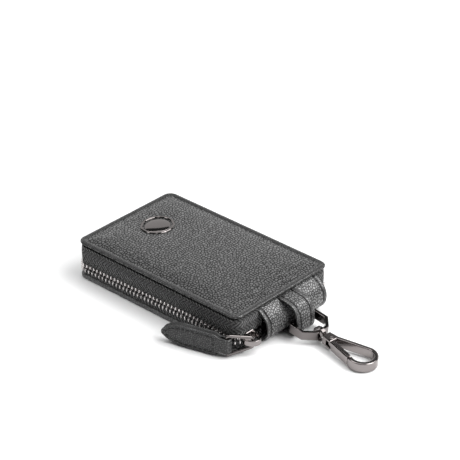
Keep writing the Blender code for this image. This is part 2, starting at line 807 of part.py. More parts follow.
def puller_tab():
    """The leather tab: a flat body with an eye round the loop's wide bar, cut to its outline."""
    hole = LOOP_WIRE / 2 + GAP
    eye = hole + TAB_LEATHER
    half = TAB_THICKNESS / 2
    top = TAB_BOTTOM + TAB_WIDTH + OVERRUN
    meet = math.asin(half / eye)
    outline = arc((0.0, 0.0), eye, eye, meet, math.tau - meet, ROUND_STEPS)
    outline += [(TAB_LENGTH + OVERRUN, -half), (TAB_LENGTH + OVERRUN, half)]
    paint = leather("puller_tab")
    tab = slab("puller_tab", outline, -OVERRUN, top, paint)
    bore = rod("puller_tab_bore", (0.0, 0.0, -2 * OVERRUN), (0.0, 0.0, top + OVERRUN), hole, paint)
    face = upright("puller_tab_face", tab_outline(), -eye - OVERRUN, eye + OVERRUN, paint)
    for tool, operation in ((bore, "DIFFERENCE"), (face, "INTERSECT")):
        tool.parent = tab
        combine(tab, tool, operation)
    tab.location = (LOOP_BAR_X, LOOP_BAR_Y, 0.0)
    tab.rotation_euler = (0.0, 0.0, TAB_ANGLE)
    return tab


def eye_radius():
    """Inside radius of the swivel eye, which clears the ring bar's corners as it turns."""
    return bar_circle() + GAP


def hook_frame():
    """The empty at the middle of the eye that carries the whole hook."""
    frame = bpy.data.objects.new("hook_frame", None)
    bpy.context.scene.collection.objects.link(frame)
    reach = RING_LENGTH - RING_BAR_THICKNESS
    end_x = RING_PIVOT_X + reach * math.cos(RING_TILT)
    frame.location = (end_x, HOOK_EYE_Y, ring_pivot_z() - reach * math.sin(RING_TILT))
    frame.rotation_euler = (0.0, HOOK_PITCH, HOOK_YAW)
    return frame


def boss_start():
    """Where the hook's boss begins, just past the eye."""
    return eye_radius() + EYE_WALL + GAP


def swivel_eye(frame):
    """The eye round the ring's end bar, with its shank and the head that holds it in the boss."""
    paint = gunmetal("swivel_eye")
    inner = eye_radius()
    outer = inner + EYE_WALL
    rings = []
    for radius, y in ((outer, -1), (outer, 1), (inner, 1), (inner, -1)):
        circle = arc((0.0, 0.0), radius, radius, 0.0, math.tau, ROUND_STEPS)[:-1]
        rings.append([(x, y * EYE_WIDTH / 2, z) for x, z in circle])
    eye = loft("swivel_eye", rings, paint, closed=True)
    head_start = boss_start() + BOSS_WALL + GAP
    overlap = EYE_WALL / 2
    shank = rod(
        "swivel_eye_shank", (outer - overlap, 0.0, 0.0), (head_start + SHANK_HEAD_LENGTH / 2, 0.0, 0.0),
        SHANK_RADIUS, paint,
    )
    head = rod(
        "swivel_eye_head", (head_start, 0.0, 0.0), (head_start + SHANK_HEAD_LENGTH, 0.0, 0.0),
        SHANK_HEAD_RADIUS, paint,
    )
    for tool in (shank, head):
        tool.parent = eye
        combine(eye, tool, "UNION")
    eye.parent = frame
    return eye


def boss_end():
    """Where the boss ends and the hook's opening begins."""
    return boss_start() + BOSS_LENGTH


def gate_pin_place():
    """The gate pin's place along and across the hook."""
    return boss_end() - GATE_PIN_BACK, GATE_PIN_OFFSET


def hook_outline():
    """The frame's outline, open on the near side between the boss and the end of the gate."""
    start, end = boss_start(), boss_end()
    half, front = BOSS_WIDTH / 2, BOSS_FRONT_WIDTH / 2
    centre = (HOOK_END_MIDDLE, HOOK_END_OFFSET)
    long_radius = HOOK_TIP - HOOK_END_MIDDLE
    wide_radius = HOOK_END_HALF_WIDTH
    cut = math.acos((GATE_END + GAP - HOOK_END_MIDDLE) / long_radius)
    inner_long, inner_wide = long_radius - HOOK_LIMB, wide_radius - HOOK_LIMB
    inner_cut = math.acos((GATE_END + GAP - HOOK_END_MIDDLE) / inner_long)
    outer = arc(centre, long_radius, wide_radius, -cut, HOOK_END_TURN, HOOK_STEPS)
    inner = arc(centre, inner_long, inner_wide, HOOK_END_TURN, -inner_cut, HOOK_STEPS)
    boss = [(end, half), (start, front), (start, -front), (end, -half), (end, half - HOOK_LIMB)]
    return outer + boss + inner


def hook_body(frame):
    """The hook's frame and boss, bored for the shank, slotted and drilled for the gate."""
    paint = gunmetal("hook_body")
    half = HOOK_HEIGHT / 2
    body = slab("hook_body", hook_outline(), -half, half, paint)
    start = boss_start()
    bore_end = start + BOSS_WALL + OVERRUN / 2
    pocket_start = start + BOSS_WALL
    pocket_end = pocket_start + SHANK_HEAD_LENGTH + 2 * GAP
    bore = rod(
        "hook_body_bore", (start - OVERRUN, 0.0, 0.0), (bore_end, 0.0, 0.0), SHANK_RADIUS + GAP, paint
    )
    pocket = rod(
        "hook_body_pocket", (pocket_start, 0.0, 0.0), (pocket_end, 0.0, 0.0),
        SHANK_HEAD_RADIUS + GAP, paint,
    )
    pin_x, pin_y = gate_pin_place()
    reach = GATE_TONGUE_RADIUS + GAP
    slot_half = GATE_TONGUE_HEIGHT / 2 + GAP
    slot = box(
        "hook_body_slot",
        (pin_x - reach, -BOSS_WIDTH / 2 - OVERRUN, -slot_half),
        (boss_end() + OVERRUN, pin_y + reach, slot_half),
        paint,
    )
    hole = rod(
        "hook_body_pin_hole", (pin_x, pin_y, -half - OVERRUN), (pin_x, pin_y, half + OVERRUN),
        GATE_PIN_RADIUS + GAP, paint,
    )
    for tool in (bore, pocket, slot, hole):
        tool.parent = body
        combine(body, tool, "DIFFERENCE")
    body.parent = frame
    return body


def gate_pin(frame):
    """The gate's rivet, with a low head on each face of the boss."""
    paint = gunmetal("gate_pin")
    pin_x, pin_y = gate_pin_place()
    half = HOOK_HEIGHT / 2
    seat = half + GAP
    pin = rod("gate_pin", (pin_x, pin_y, -seat - GATE_PIN_HEAD_HEIGHT / 2),
              (pin_x, pin_y, seat + GATE_PIN_HEAD_HEIGHT / 2), GATE_PIN_RADIUS, paint)
    for side, label in ((1, "top"), (-1, "bottom")):
        inner, outer = side * seat, side * (seat + GATE_PIN_HEAD_HEIGHT)
        head = rod("gate_pin_" + label, (pin_x, pin_y, inner), (pin_x, pin_y, outer),
                   GATE_PIN_HEAD, paint)
        head.parent = pin
        combine(pin, head, "UNION")
    pin.parent = frame
    return pin


def hook_gate(frame):
    """The gate: a tongue round the pin and a bar that closes the near side, from its pin's axis."""
    paint = gunmetal("hook_gate")
    pin_x, pin_y = gate_pin_place()
    bar_start = boss_end() + GAP - pin_x
    bar_end = GATE_END - pin_x
    outer_start = -BOSS_WIDTH / 2 - pin_y
    near = HOOK_END_OFFSET - HOOK_END_HALF_WIDTH * math.sin(
        math.acos((GATE_END - HOOK_END_MIDDLE) / (HOOK_TIP - HOOK_END_MIDDLE))
    )
    outer_end = near - pin_y
    bar = [
        (bar_start, outer_start),
        (bar_end - GATE_END_SLANT, outer_end),
        (bar_end, outer_end + GATE_THICKNESS),
        (bar_start, outer_start + GATE_THICKNESS),
    ]
    half, tongue_half = GATE_HEIGHT / 2, GATE_TONGUE_HEIGHT / 2
    gate = slab("hook_gate", bar, -half, half, paint)
    radius = GATE_TONGUE_RADIUS
    tongue_outline = arc((0.0, 0.0), radius, radius, math.pi / 2, GATE_TONGUE_TURN, HOOK_STEPS)
    for share in GATE_TONGUE_SHARES:
        tongue_outline.append((bar_start + GATE_THICKNESS / 2, outer_start + GATE_THICKNESS * share))
    tongue = slab("hook_gate_tongue", tongue_outline, -tongue_half, tongue_half, paint)
    hole = rod(
        "hook_gate_hole", (0.0, 0.0, -half), (0.0, 0.0, half), GATE_PIN_RADIUS + GAP, paint
    )
    for tool, operation in ((tongue, "UNION"), (hole, "DIFFERENCE")):
        tool.parent = gate
        combine(gate, tool, operation)
    gate.location = (pin_x, pin_y, 0.0)
    gate.parent = frame
    return gate


def key_rod_z():
    """Height of the key rod."""
    return FLOOR_LINING_TOP + GAP + KEY_ROD_HEIGHT


def key_row():
    """Middles of the key hooks across the case."""
    return [KEY_PITCH * (index - (KEY_COUNT - 1) / 2) for index in range(KEY_COUNT)]


def post_middle():
    """Distance of each post of the key plate from the middle."""
    return KEY_PITCH * KEY_COUNT / 2 + KEY_POST_THICKNESS


def key_plate():
    """The plate on the floor, with a post at each end and holes for its rivets and rod."""
    paint = gunmetal("key_plate")
    low = FLOOR_LINING_TOP + GAP
    high = low + KEY_PLATE_THICKNESS
    half_y = post_middle() + KEY_POST_THICKNESS / 2
    near_x = KEY_ROD_X - KEY_PLATE_SET_BACK
    plate = box("key_plate", (near_x, -half_y, low), (near_x + KEY_PLATE_WIDTH, half_y, high), paint)
    rod_z = key_rod_z()
    for side, label in ((-1, "near"), (1, "far")):
        middle = side * post_middle()
        post = box(
            "key_plate_post_" + label,
            (KEY_ROD_X - KEY_POST_WIDTH / 2, middle - KEY_POST_THICKNESS / 2, high - KEY_PLATE_THICKNESS / 2),
            (KEY_ROD_X + KEY_POST_WIDTH / 2, middle + KEY_POST_THICKNESS / 2, rod_z + KEY_POST_WIDTH / 2),
            paint,
        )
        combine(plate, post, "UNION")
    hole = rod(
        "key_plate_rod_hole", (KEY_ROD_X, -half_y - OVERRUN, rod_z), (KEY_ROD_X, half_y + OVERRUN, rod_z),
        KEY_ROD_RADIUS + GAP, paint,
    )
    combine(plate, hole, "DIFFERENCE")
    for index, place in enumerate(rivet_places()):
        hole = rod(
            "key_plate_rivet_hole_%d" % index, (*place, low - OVERRUN), (*place, high + OVERRUN),
            RIVET_RADIUS + GAP, paint,
        )
        combine(plate, hole, "DIFFERENCE")
    return plate


def rivet_places():
    """The two rivets behind the rod."""
    x = KEY_ROD_X - KEY_PLATE_SET_BACK + KEY_PLATE_WIDTH - RIVET_HEAD_RADIUS - GAP
    return [(x, side * RIVET_SPACING / 2) for side in (-1, 1)]


def key_plate_rivet(number, place):
    """A rivet with a flat round head on the plate."""
    low = FLOOR_LINING_TOP + GAP
    high = low + KEY_PLATE_THICKNESS
    levels = (
        (RIVET_RADIUS, low),
        (RIVET_RADIUS, high + GAP),
        (RIVET_HEAD_RADIUS, high + GAP),
        (RIVET_HEAD_RADIUS, high + GAP + RIVET_HEAD_HEIGHT),
    )
    rings = []
    for radius, height in levels:
        circle = arc(place, radius, radius, 0.0, math.tau, ROUND_STEPS)[:-1]
        rings.append([(x, y, height) for x, y in circle])
    name = "key_plate_rivet_%d" % number
    return loft(name, rings, gunmetal(name))


def key_rod():
    """The rod that the key hooks turn on, with a head beyond each post."""
    paint = gunmetal("key_rod")
    z = key_rod_z()
    seat = post_middle() + KEY_POST_THICKNESS / 2 + GAP
    end = seat + KEY_ROD_HEAD_LENGTH / 2
    made = rod("key_rod", (KEY_ROD_X, -end, z), (KEY_ROD_X, end, z), KEY_ROD_RADIUS, paint)
    for side, label in ((-1, "near"), (1, "far")):
        inner, outer = side * seat, side * (seat + KEY_ROD_HEAD_LENGTH)
        head = rod("key_rod_head_" + label, (KEY_ROD_X, inner, z), (KEY_ROD_X, outer, z),
                   KEY_ROD_HEAD_RADIUS, paint)
        combine(made, head, "UNION")
    return made


def key_droop():
    """The angle at which a key hook's end lies on the lining."""
    drop = key_rod_z() - FLOOR_LINING_TOP - GAP - KEY_WIRE / 2
    return math.asin(drop / (KEY_STEM + KEY_LOOP_LENGTH))


def key_hook(number, y):
    """One wire key hook, from the rod's axis: an eye, a stem and an open oblong loop."""
    name = "key_hook_%d" % number
    paint = gunmetal(name)
    inner = KEY_ROD_RADIUS + GAP
    outer = inner + KEY_EYE_WALL
    rings = []
    for radius, side in ((outer, -1), (outer, 1), (inner, 1), (inner, -1)):
        circle = arc((0.0, 0.0), radius, radius, 0.0, math.tau, ROUND_STEPS)[:-1]
        rings.append([(x, side * KEY_EYE_WIDTH / 2, z) for x, z in circle])
    hook = loft(name, rings, paint, closed=True)
    half = (KEY_LOOP_WIDTH - KEY_WIRE) / 2
    far = -KEY_STEM - KEY_LOOP_LENGTH
    corners = [
        (-outer + KEY_EYE_WALL / 2, 0.0), (-KEY_STEM, 0.0), (-KEY_STEM - half, half),
        (far, half), (far, -half), (-KEY_STEM - half - KEY_MOUTH, -half),
    ]
    path = rounded_path(corners, half * KEY_CORNER_SHARE, BEND_STEPS, closed=False)
    rings = planar_wire(path, KEY_WIRE / 2, lambda u, v, lift: (u, v, lift), closed=False)
    wire = loft(name + "_wire", rings, paint)
    wire.parent = hook
    combine(hook, wire, "UNION")
    hook.location = (KEY_ROD_X, y, key_rod_z())
    hook.rotation_euler = (0.0, -key_droop(), 0.0)
    return hook


def badge_frame():
    """The oval frame on the top panel."""
    outer = oval(BADGE_X, BADGE_Y, BADGE_LENGTH, BADGE_WIDTH)
    inner = oval(BADGE_X, BADGE_Y, BADGE_LENGTH - 2 * BADGE_RIM, BADGE_WIDTH - 2 * BADGE_RIM)
    low = CASE_HEIGHT + GAP
    return hollow_slab("badge_frame", outer, inner, low, low + BADGE_HEIGHT, gunmetal("badge_frame"))


def badge_dome():
    """The plain oval dome inside the frame."""
    low = CASE_HEIGHT + GAP
    length = BADGE_LENGTH - 2 * (BADGE_RIM + BADGE_DOME_GAP)
    width = BADGE_WIDTH - 2 * (BADGE_RIM + BADGE_DOME_GAP)
    rings = []
    for size, height in BADGE_DOME_SHARES:
        outline = oval(BADGE_X, BADGE_Y, length * size, width * size)
        rings.append([(x, y, low + height * BADGE_HEIGHT) for x, y in outline])
    return loft("badge_dome", rings, gunmetal("badge_dome"))


for old in list(bpy.data.objects):
    bpy.data.objects.remove(old, do_unlink=True)

bottom_cover()
lining("bottom_lining", FLOOR_THICKNESS + GAP)
top_cover()
lining("top_lining", LID_LINING_TOP - LINING_THICKNESS)
lower_tape()
upper_tape()
zip_teeth()
zip_stops()
spine_panel()
ring_strap()
strap_ring()
zip_slider()
puller_loop()
puller_tab()
carrier = hook_frame()
swivel_eye(carrier)
hook_body(carrier)
gate_pin(carrier)
hook_gate(carrier)
key_plate()
for number, place in enumerate(rivet_places(), start=1):
    key_plate_rivet(number, place)
key_rod()
for number, middle_y in enumerate(key_row(), start=1):
    key_hook(number, middle_y)
badge_frame()
badge_dome()
bpy.context.view_layer.update()
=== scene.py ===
from math import acos, cos, pi, radians, sin, tan, tau

import bmesh
import bpy
import numpy as np
from mathutils import Matrix, Vector


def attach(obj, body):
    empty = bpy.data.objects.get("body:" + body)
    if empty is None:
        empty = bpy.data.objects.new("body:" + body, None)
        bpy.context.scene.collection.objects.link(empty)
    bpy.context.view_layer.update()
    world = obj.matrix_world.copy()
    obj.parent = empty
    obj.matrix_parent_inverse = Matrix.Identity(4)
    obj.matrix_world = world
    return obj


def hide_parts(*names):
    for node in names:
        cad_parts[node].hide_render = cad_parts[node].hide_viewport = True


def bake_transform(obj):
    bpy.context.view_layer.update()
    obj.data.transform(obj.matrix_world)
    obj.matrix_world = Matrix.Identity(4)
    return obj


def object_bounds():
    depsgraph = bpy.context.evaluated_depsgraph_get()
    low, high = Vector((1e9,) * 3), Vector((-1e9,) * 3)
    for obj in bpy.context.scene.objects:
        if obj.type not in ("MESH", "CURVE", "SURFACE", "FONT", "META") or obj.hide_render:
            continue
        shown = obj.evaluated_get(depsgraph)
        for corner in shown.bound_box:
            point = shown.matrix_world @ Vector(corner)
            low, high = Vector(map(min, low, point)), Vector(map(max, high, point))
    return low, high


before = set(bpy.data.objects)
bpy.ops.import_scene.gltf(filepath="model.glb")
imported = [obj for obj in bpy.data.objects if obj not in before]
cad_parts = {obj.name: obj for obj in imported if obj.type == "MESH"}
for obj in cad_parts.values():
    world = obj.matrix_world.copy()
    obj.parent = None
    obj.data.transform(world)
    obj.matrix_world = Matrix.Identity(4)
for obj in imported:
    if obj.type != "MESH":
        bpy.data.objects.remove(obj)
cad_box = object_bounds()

# Zip-around key case, closed, lying on a pale table: leather covers, a metal zip round three sides,
# a leather spine with a strap and ring on the fourth, a snap hook in the ring, a leather pull tab.

mm = 0.001

# ---- Camera
# The photograph is a close view from 42 degrees to the right of the long side and 31 degrees up,
# through a long lens, so that parallel edges stay nearly parallel.
camera_turn = radians(42.38)
camera_rise = radians(30.52)
camera_distance = 1036 * mm
aim_right = 14.58 * mm
aim_up = 29.8 * mm


def direction(turn, rise):
    """The way to a camera or lamp that stands turned from the near side to the right, and raised."""
    return Vector((sin(turn) * cos(rise), -cos(turn) * cos(rise), sin(rise)))


def added(name, data):
    """A new object in the scene that holds a mesh, a lamp or a lens."""
    piece = bpy.data.objects.new(name, data)
    bpy.context.scene.collection.objects.link(piece)
    return piece


to_camera = direction(camera_turn, camera_rise)
to_right = Vector((cos(camera_turn), sin(camera_turn), 0.0))
to_top = to_camera.cross(to_right)
lens = bpy.data.cameras.new("camera")
lens.sensor_width = 36.0
lens.lens = 156.5
camera = added("camera", lens)
camera.matrix_world = Matrix.Translation(
    to_right * aim_right + to_top * aim_up + to_camera * camera_distance
) @ Matrix((to_right, to_top, to_camera)).transposed().to_4x4()
bpy.context.scene.camera = camera

# ---- Table and light
# A white table top before a curved white screen that stands behind the case, 38 degrees high, with soft
# lamps to its right, to its left and above it in a dim room. Level metal faces are dark where they
# mirror the room above the screen, and upright ones take the white of the table.
table_half = 3.0
screen_radius = 2.6
screen_height = screen_radius * tan(radians(38.0))
screen_steps = 48


def rgba(colour):
    """An opaque colour from its red, green and blue, or from one grey."""
    return (*np.broadcast_to(colour, 3), 1.0)


def feed(node, values):
    """Sets each named or numbered input of a shader node to a value, or links it to a socket."""
    for key, value in dict(values).items():
        if isinstance(value, bpy.types.NodeSocket):
            node.id_data.links.new(value, node.inputs[key])
        else:
            node.inputs[key].default_value = value


def new_paint(name, values):
    """A new material, its node tree, and its shader with these values."""
    paint = bpy.data.materials.new(name)
    paint.use_nodes = True
    shader = paint.node_tree.nodes["Principled BSDF"]
    feed(shader, values)
    return paint, paint.node_tree, shader


def raised(flat, height):
    """Points of x and y with a height beside each."""
    return np.concatenate([flat, np.broadcast_to(height, flat.shape[:-1])[..., None]], -1)


def plain_piece(name, points, faces, paint_name, values):
    """A piece of the stage: a mesh with one plain paint."""
    mesh = bpy.data.meshes.new(name)
    mesh.from_pydata(points.tolist(), [], faces.tolist())
    mesh.materials.append(new_paint(paint_name, values)[0])
    return added(name, mesh)


def lamp(name, turn, rise, distance, size, power):
    """A square soft lamp that looks at the case: turn and rise are degrees as for the camera."""
    way = direction(radians(turn), radians(rise))
    light = bpy.data.lights.new(name, "AREA")
    light.shape, light.size, light.energy = "SQUARE", size, power
    piece = added(name, light)
    piece.location = way * distance
    piece.rotation_euler = way.to_track_quat("Z", "Y").to_euler()


table_points = raised(table_half * np.array([(-1, -1), (1, -1), (1, 1), (-1, 1)]), 0.0)
table = plain_piece("table", table_points, np.arange(4)[None], "white_table", {
    "Base Color": rgba(0.9), "Roughness": 0.7, "Specular IOR Level": 0.1
})

screen_turn = np.radians(np.linspace(162, 282, screen_steps + 1))
screen_arc = screen_radius * np.stack([np.sin(screen_turn), -np.cos(screen_turn)], -1)
screen_points = np.concatenate([raised(screen_arc, z) for z in (0.0, screen_height)])
screen_faces = np.arange(screen_steps)[:, None] + [0, screen_steps + 1, screen_steps + 2, 1]
screen = plain_piece("screen", screen_points, screen_faces, "lit_screen", {
    "Base Color": rgba(0.0), "Emission Color": rgba(1.0), "Emission Strength": 1.0
})

room = bpy.data.worlds.new("room")
bpy.context.scene.world = room
room.use_nodes = True
feed(room.node_tree.nodes["Background"], {"Color": rgba((0.95, 0.97, 1.0)), "Strength": 0.07})
lamp("lamp_right", 130, 50, 1.2, 0.9, 13)
lamp("lamp_low", 100, 36, 1.1, 0.6, 6)
lamp("lamp_left", 318, 60, 0.9, 0.5, 2.2)
lamp("lamp_above", 180, 86, 1.0, 1.0, 5)
bpy.context.scene.view_settings.view_transform = "Standard"

# ---- Bottom cover
# A shallow tray of grained leather on board: its edge is turned up round the floor of the case and
# stands as a low rim, and the foot of the zip tape is sewn inside it.
case_length = 112 * mm
case_width = 70 * mm
corner_radius = 5 * mm
tightest_corner = 0.8 * mm
weld_distance = 2e-7


def circle(turn):
    """Points of a circle of radius 1 at these angles."""
    return np.stack([np.cos(turn), np.sin(turn)], -1)


def case_rings(insets, corner_steps=10, step=1.0 * mm):
    """Rows of x and y round the case, one row per inset: straight sides between quarter circles whose
    centres and radius move in with the inset, so that the last rows draw together on a middle line."""
    half = np.array([case_length, case_width]) / 2
    reach = half - insets[:, None]
    radius = np.minimum(np.maximum(corner_radius - insets, tightest_corner), reach.min(axis=1))
    signs = np.array([(1, 1), (-1, 1), (-1, -1), (1, -1)])
    centres = signs * (reach - radius[:, None])[:, None]
    rows = []
    for quarter in range(4):
        spokes = circle(pi / 2 * (quarter + np.linspace(0, 1, corner_steps + 1)))
        rows.append(centres[:, quarter, None] + radius[:, None, None] * spokes)
        run = (case_width, case_length)[(quarter + 1) % 2] - 2 * corner_radius
        shares = np.linspace(0, 1, int(run / step) + 1)[1:-1, None]
        start = rows[-1][:, -1:]
        after = centres[:, (quarter + 1) % 4] + radius[:, None] * spokes[-1]
        rows.append(start + (after[:, None] - start) * shares)
    return np.concatenate(rows, axis=1)


def surface(name, points, paints, ring=True, loop=False, caps=True, zones=None, sharp=40):
    """A closed mesh over one grid of points, or over several copies of a grid: rows by columns, with a
    quad between neighbours. ring joins the columns' ends, loop the rows', and caps close the rest.
    The UV map is the distance along the rows and across the columns, in metres."""
    points = points.reshape(-1, *points.shape[-3:])
    copies, rows, columns = points.shape[:3]
    spot = np.arange(points[..., 0].size).reshape(points.shape[:3])
    row, column = np.indices((rows if loop else rows - 1, columns if ring else columns - 1))
    corners = [(row, column), (row, column + 1), (row + 1, column + 1), (row + 1, column)]
    quads = np.stack([spot[:, r % rows, c % columns] for r, c in corners], axis=-1).reshape(-1, 4)
    steps = [np.linalg.norm(np.roll(points, -1, axis) - points, axis=-1) for axis in (1, 2)]
    along = np.cumsum([0.0, *steps[0].mean(axis=(0, 2))])
    across = np.cumsum([0.0, *steps[1].mean(axis=(0, 1))])
    flat = np.stack([np.stack([along[r], across[c]], -1) for r, c in corners], axis=-2)
    flat = np.tile(flat.reshape(-1, 2), (copies, 1))
    faces = quads.tolist()
    if caps and ring and not loop:
        faces += spot[:, 0].tolist() + spot[:, -1].tolist()
        flat = np.concatenate([flat, np.zeros((2 * copies * columns, 2))])
    mesh = bpy.data.meshes.new(name)
    mesh.from_pydata(points.reshape(-1, 3).tolist(), [], faces)
    mesh.uv_layers.new(name="UVMap").data.foreach_set("uv", flat.ravel())
    if zones is not None:
        kinds = np.zeros(len(faces), np.int32)
        kinds[: len(quads)] = np.tile(np.broadcast_to(zones, row.shape).ravel(), copies)
        mesh.polygons.foreach_set("material_index", kinds)
    build = bmesh.new()
    build.from_mesh(mesh)
    bmesh.ops.remove_doubles(build, verts=build.verts, dist=weld_distance)
    bmesh.ops.recalc_face_normals(build, faces=build.faces)
    build.to_mesh(mesh)
    build.free()
    mesh.shade_smooth()
    mesh.set_sharp_from_angle(angle=radians(sharp))
    for paint in paints if isinstance(paints, list) else [paints]:
        mesh.materials.append(paint)
    return added(name, mesh)


def ripple(points, wavelength, seed):
    """Smooth unevenness from -1 to 1: a mean of sine waves of about one length in seeded directions."""
    dice = np.random.default_rng(seed)
    ways = dice.normal(size=(10, 3))
    ways *= (dice.uniform(0.7, 1.4, 10) / np.linalg.norm(ways, axis=1))[:, None] * tau / wavelength
    return np.sin(points @ ways.T + dice.uniform(0, tau, 10)).mean(axis=-1) * 1.8


def wire(tree, kind, output, values=(), **settings):
    """One output of a new shader node with these settings and inputs."""
    made = tree.nodes.new("ShaderNode" + kind)
    for setting, value in settings.items():
        setattr(made, setting, value)
    feed(made, values)
    return made.outputs[output]


def maths(tree, operation, *inputs):
    """The result of a maths node."""
    return wire(tree, "Math", 0, enumerate(inputs), operation=operation)


def mapped(tree, value, old=(0, 1), new=(0, 1), **settings):
    """A value mapped from an old range to a new one."""
    ends = {"From Min": old[0], "From Max": old[1], "To Min": new[0], "To Max": new[1]}
    return wire(tree, "MapRange", "Result", {"Value": value, **ends}, **settings)


def noise(tree, place, scale, detail=2.0, output="Fac"):
    """Soft noise at a place, at this many spots to the metre."""
    return wire(tree, "TexNoise", output, {"Vector": place, "Scale": scale, "Detail": detail})


def two_tone(shader, shade, dark, light):
    """Colours the shader between dark and light by a shade from 0 to 1."""
    ends = {0: shade, 6: rgba(dark), 7: rgba(light)}
    feed(shader, {"Base Color": wire(shader.id_data, "Mix", 2, ends, data_type="RGBA")})


def relief(shader, height, strength, depth):
    """Bumps the shader's surface by a height."""
    values = {"Height": height, "Strength": strength, "Distance": depth}
    feed(shader, {"Normal": wire(shader.id_data, "Bump", "Normal", values)})


def leather(name, dark, light, cell, depth, roughness=0.5, gloss=0.5, wax=0.6, lay=(0, 0, 0)):
    """Drum-dyed pebbled leather: rounded grains parted by valleys, each grain with its own height and
    gloss, on the Object coordinates. The valleys are dull and painted dark as the shade in them, the
    tops lighter and shiny. cell is the grain's size, wax the thin smooth finish over it, lay the turn
    that brings the piece's outer face level, so that the grain spreads over that face as it does over a
    hide."""
    paint, tree, shader = new_paint(name, {"Coat Roughness": 0.25, "Coat IOR": 1.7})
    place = wire(tree, "TexCoord", "Object")
    laid = wire(tree, "Mapping", 0, {"Vector": place, "Rotation": lay})
    drift = {0: noise(tree, place, 1.4 / cell, output="Color"), 1: (cell * 0.7,) * 3, 2: laid}
    moved = wire(tree, "VectorMath", 0, drift, operation="MULTIPLY_ADD")
    grain = {"Vector": moved, "Scale": 1 / cell, "Randomness": 0.9}
    flat = {"voronoi_dimensions": "2D"}
    edges = wire(tree, "TexVoronoi", "Distance", grain, **flat, feature="DISTANCE_TO_EDGE")
    own = wire(tree, "SeparateXYZ", 0, {0: wire(tree, "TexVoronoi", "Color", grain, **flat)})
    rise = mapped(tree, edges, old=(0, 0.36), interpolation_type="SMOOTHSTEP")
    tops = maths(tree, "MULTIPLY", rise, mapped(tree, own, new=(0.9, 1)))
    mixed = maths(tree, "MULTIPLY_ADD", noise(tree, place, 2.6 / cell), 0.3, tops)
    height = maths(tree, "MULTIPLY_ADD", noise(tree, place, 0.3 / cell), 0.06, mixed)
    shade = mapped(tree, height, old=(0.1, 1.15))
    # Painted shade: the colour darkens from the grain's tops down into its valleys.
    two_tone(shader, shade, dark, light)
    feed(shader, {
        "Roughness": mapped(tree, shade, new=(min(1.0, roughness + 0.3), roughness)),
        "Specular IOR Level": mapped(tree, shade, new=(0.05, gloss)),
        "Coat Weight": mapped(tree, shade, new=(0.2 * wax, wax)),
    })
    relief(shader, height, 1.0, depth)
    return paint


# The tray's leather is the lid's grained leather painted lighter, as painted light that lifts the shade
# on its low sides.
lightened_tray_leather = leather("lightened_tray_leather", 0.075, 0.12, 1.1 * mm, 0.05 * mm, 0.42, lay=(pi / 2, pi / 4, 0))
tray_profile = np.array([
    (35, 0), (20, 0), (4, 0), (1.2, 0), (0.75, 0.05), (0.42, 0.18), (0.2, 0.38), (0.06, 0.7), (0, 1.2),
    (0, 1.7), (0.06, 2.15), (0.3, 2.45), (0.6, 2.6), (1.1, 2.6), (1.5, 2.5), (1.5, 1.6), (4, 1.6),
    (20, 1.6), (35, 1.6),
]) * mm
tray = raised(case_rings(tray_profile[:, 0]), tray_profile[:, 1, None])
on_rim = tray[..., 2] > 1.7 * mm
tray[..., 2] += 0.08 * mm * ripple(tray, 9 * mm, 1) * on_rim
bottom = surface("bottom_cover_leather", tray, lightened_tray_leather, caps=False)
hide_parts("bottom_cover")
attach(bottom, "case_base")

# ---- Linings
# Thin black cloth in a plain weave, cut to the shape of the case with its edge turned under, and
# glued to the floor and under the lid.


def wave(tree, along, pitch):
    """A sine wave of this pitch along a value."""
    return maths(tree, "SINE", maths(tree, "MULTIPLY", along, tau / pitch))


def weave(name, dark, light, pitch, depth):
    """Plain woven cloth on the Object coordinates: sine ribs of warp and weft that pass over in turn."""
    paint, tree, shader = new_paint(name, {"Roughness": 0.85, "Sheen Weight": 0.25})
    place = wire(tree, "TexCoord", "Object")
    warp, weft = (wave(tree, wire(tree, "SeparateXYZ", axis, {0: place}), pitch) for axis in (0, 1))
    crossed = maths(tree, "MULTIPLY", warp, weft)
    height = maths(tree, "MULTIPLY_ADD", noise(tree, place, 3 / pitch), 0.8, crossed)
    two_tone(shader, mapped(tree, height, old=(-1, 1.8)), dark, light)
    relief(shader, height, 0.8, depth)
    return paint


lining_cloth = weave("lining_cloth", (0.008, 0.008, 0.009), (0.03, 0.031, 0.034), 0.7 * mm, 0.06 * mm)
lining_inset = 3.5 * mm
lining_edge = np.array([
    (31.5, 0), (16, 0), (0.3, 0), (0, 0.2), (0, 0.5), (0.3, 0.7), (16, 0.7), (31.5, 0.7)
]) * mm
for name, node, body, low in (
    ("floor_lining", "bottom_lining", "case_base", 1.9 * mm),
    ("lid_lining", "top_lining", "lid", 18.6 * mm),
):
    rows = raised(case_rings(lining_inset + lining_edge[:, 0]), low + lining_edge[:, 1, None])
    lining = surface(name, rows, lining_cloth, caps=False)
    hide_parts(node)
    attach(lining, body)

# ---- Zip tapes
# Two black tapes in herringbone weave, sewn under the covers and pressed outwards by the teeth that
# are clenched on their edges. They run round three sides and tuck in behind the ends of the spine.
spine_near = -18.4 * mm
spine_far = 26.4 * mm
tape_tuck = 2.6 * mm
tape_thickness = 0.8 * mm
long_run, short_run = case_length - 2 * corner_radius, case_width - 2 * corner_radius
first_run, last_run = short_run / 2 + spine_near + tape_tuck, short_run / 2 - spine_far + tape_tuck
track_runs = first_run, long_run, short_run, long_run, last_run
track_end = sum(track_runs) + 2 * pi * corner_radius


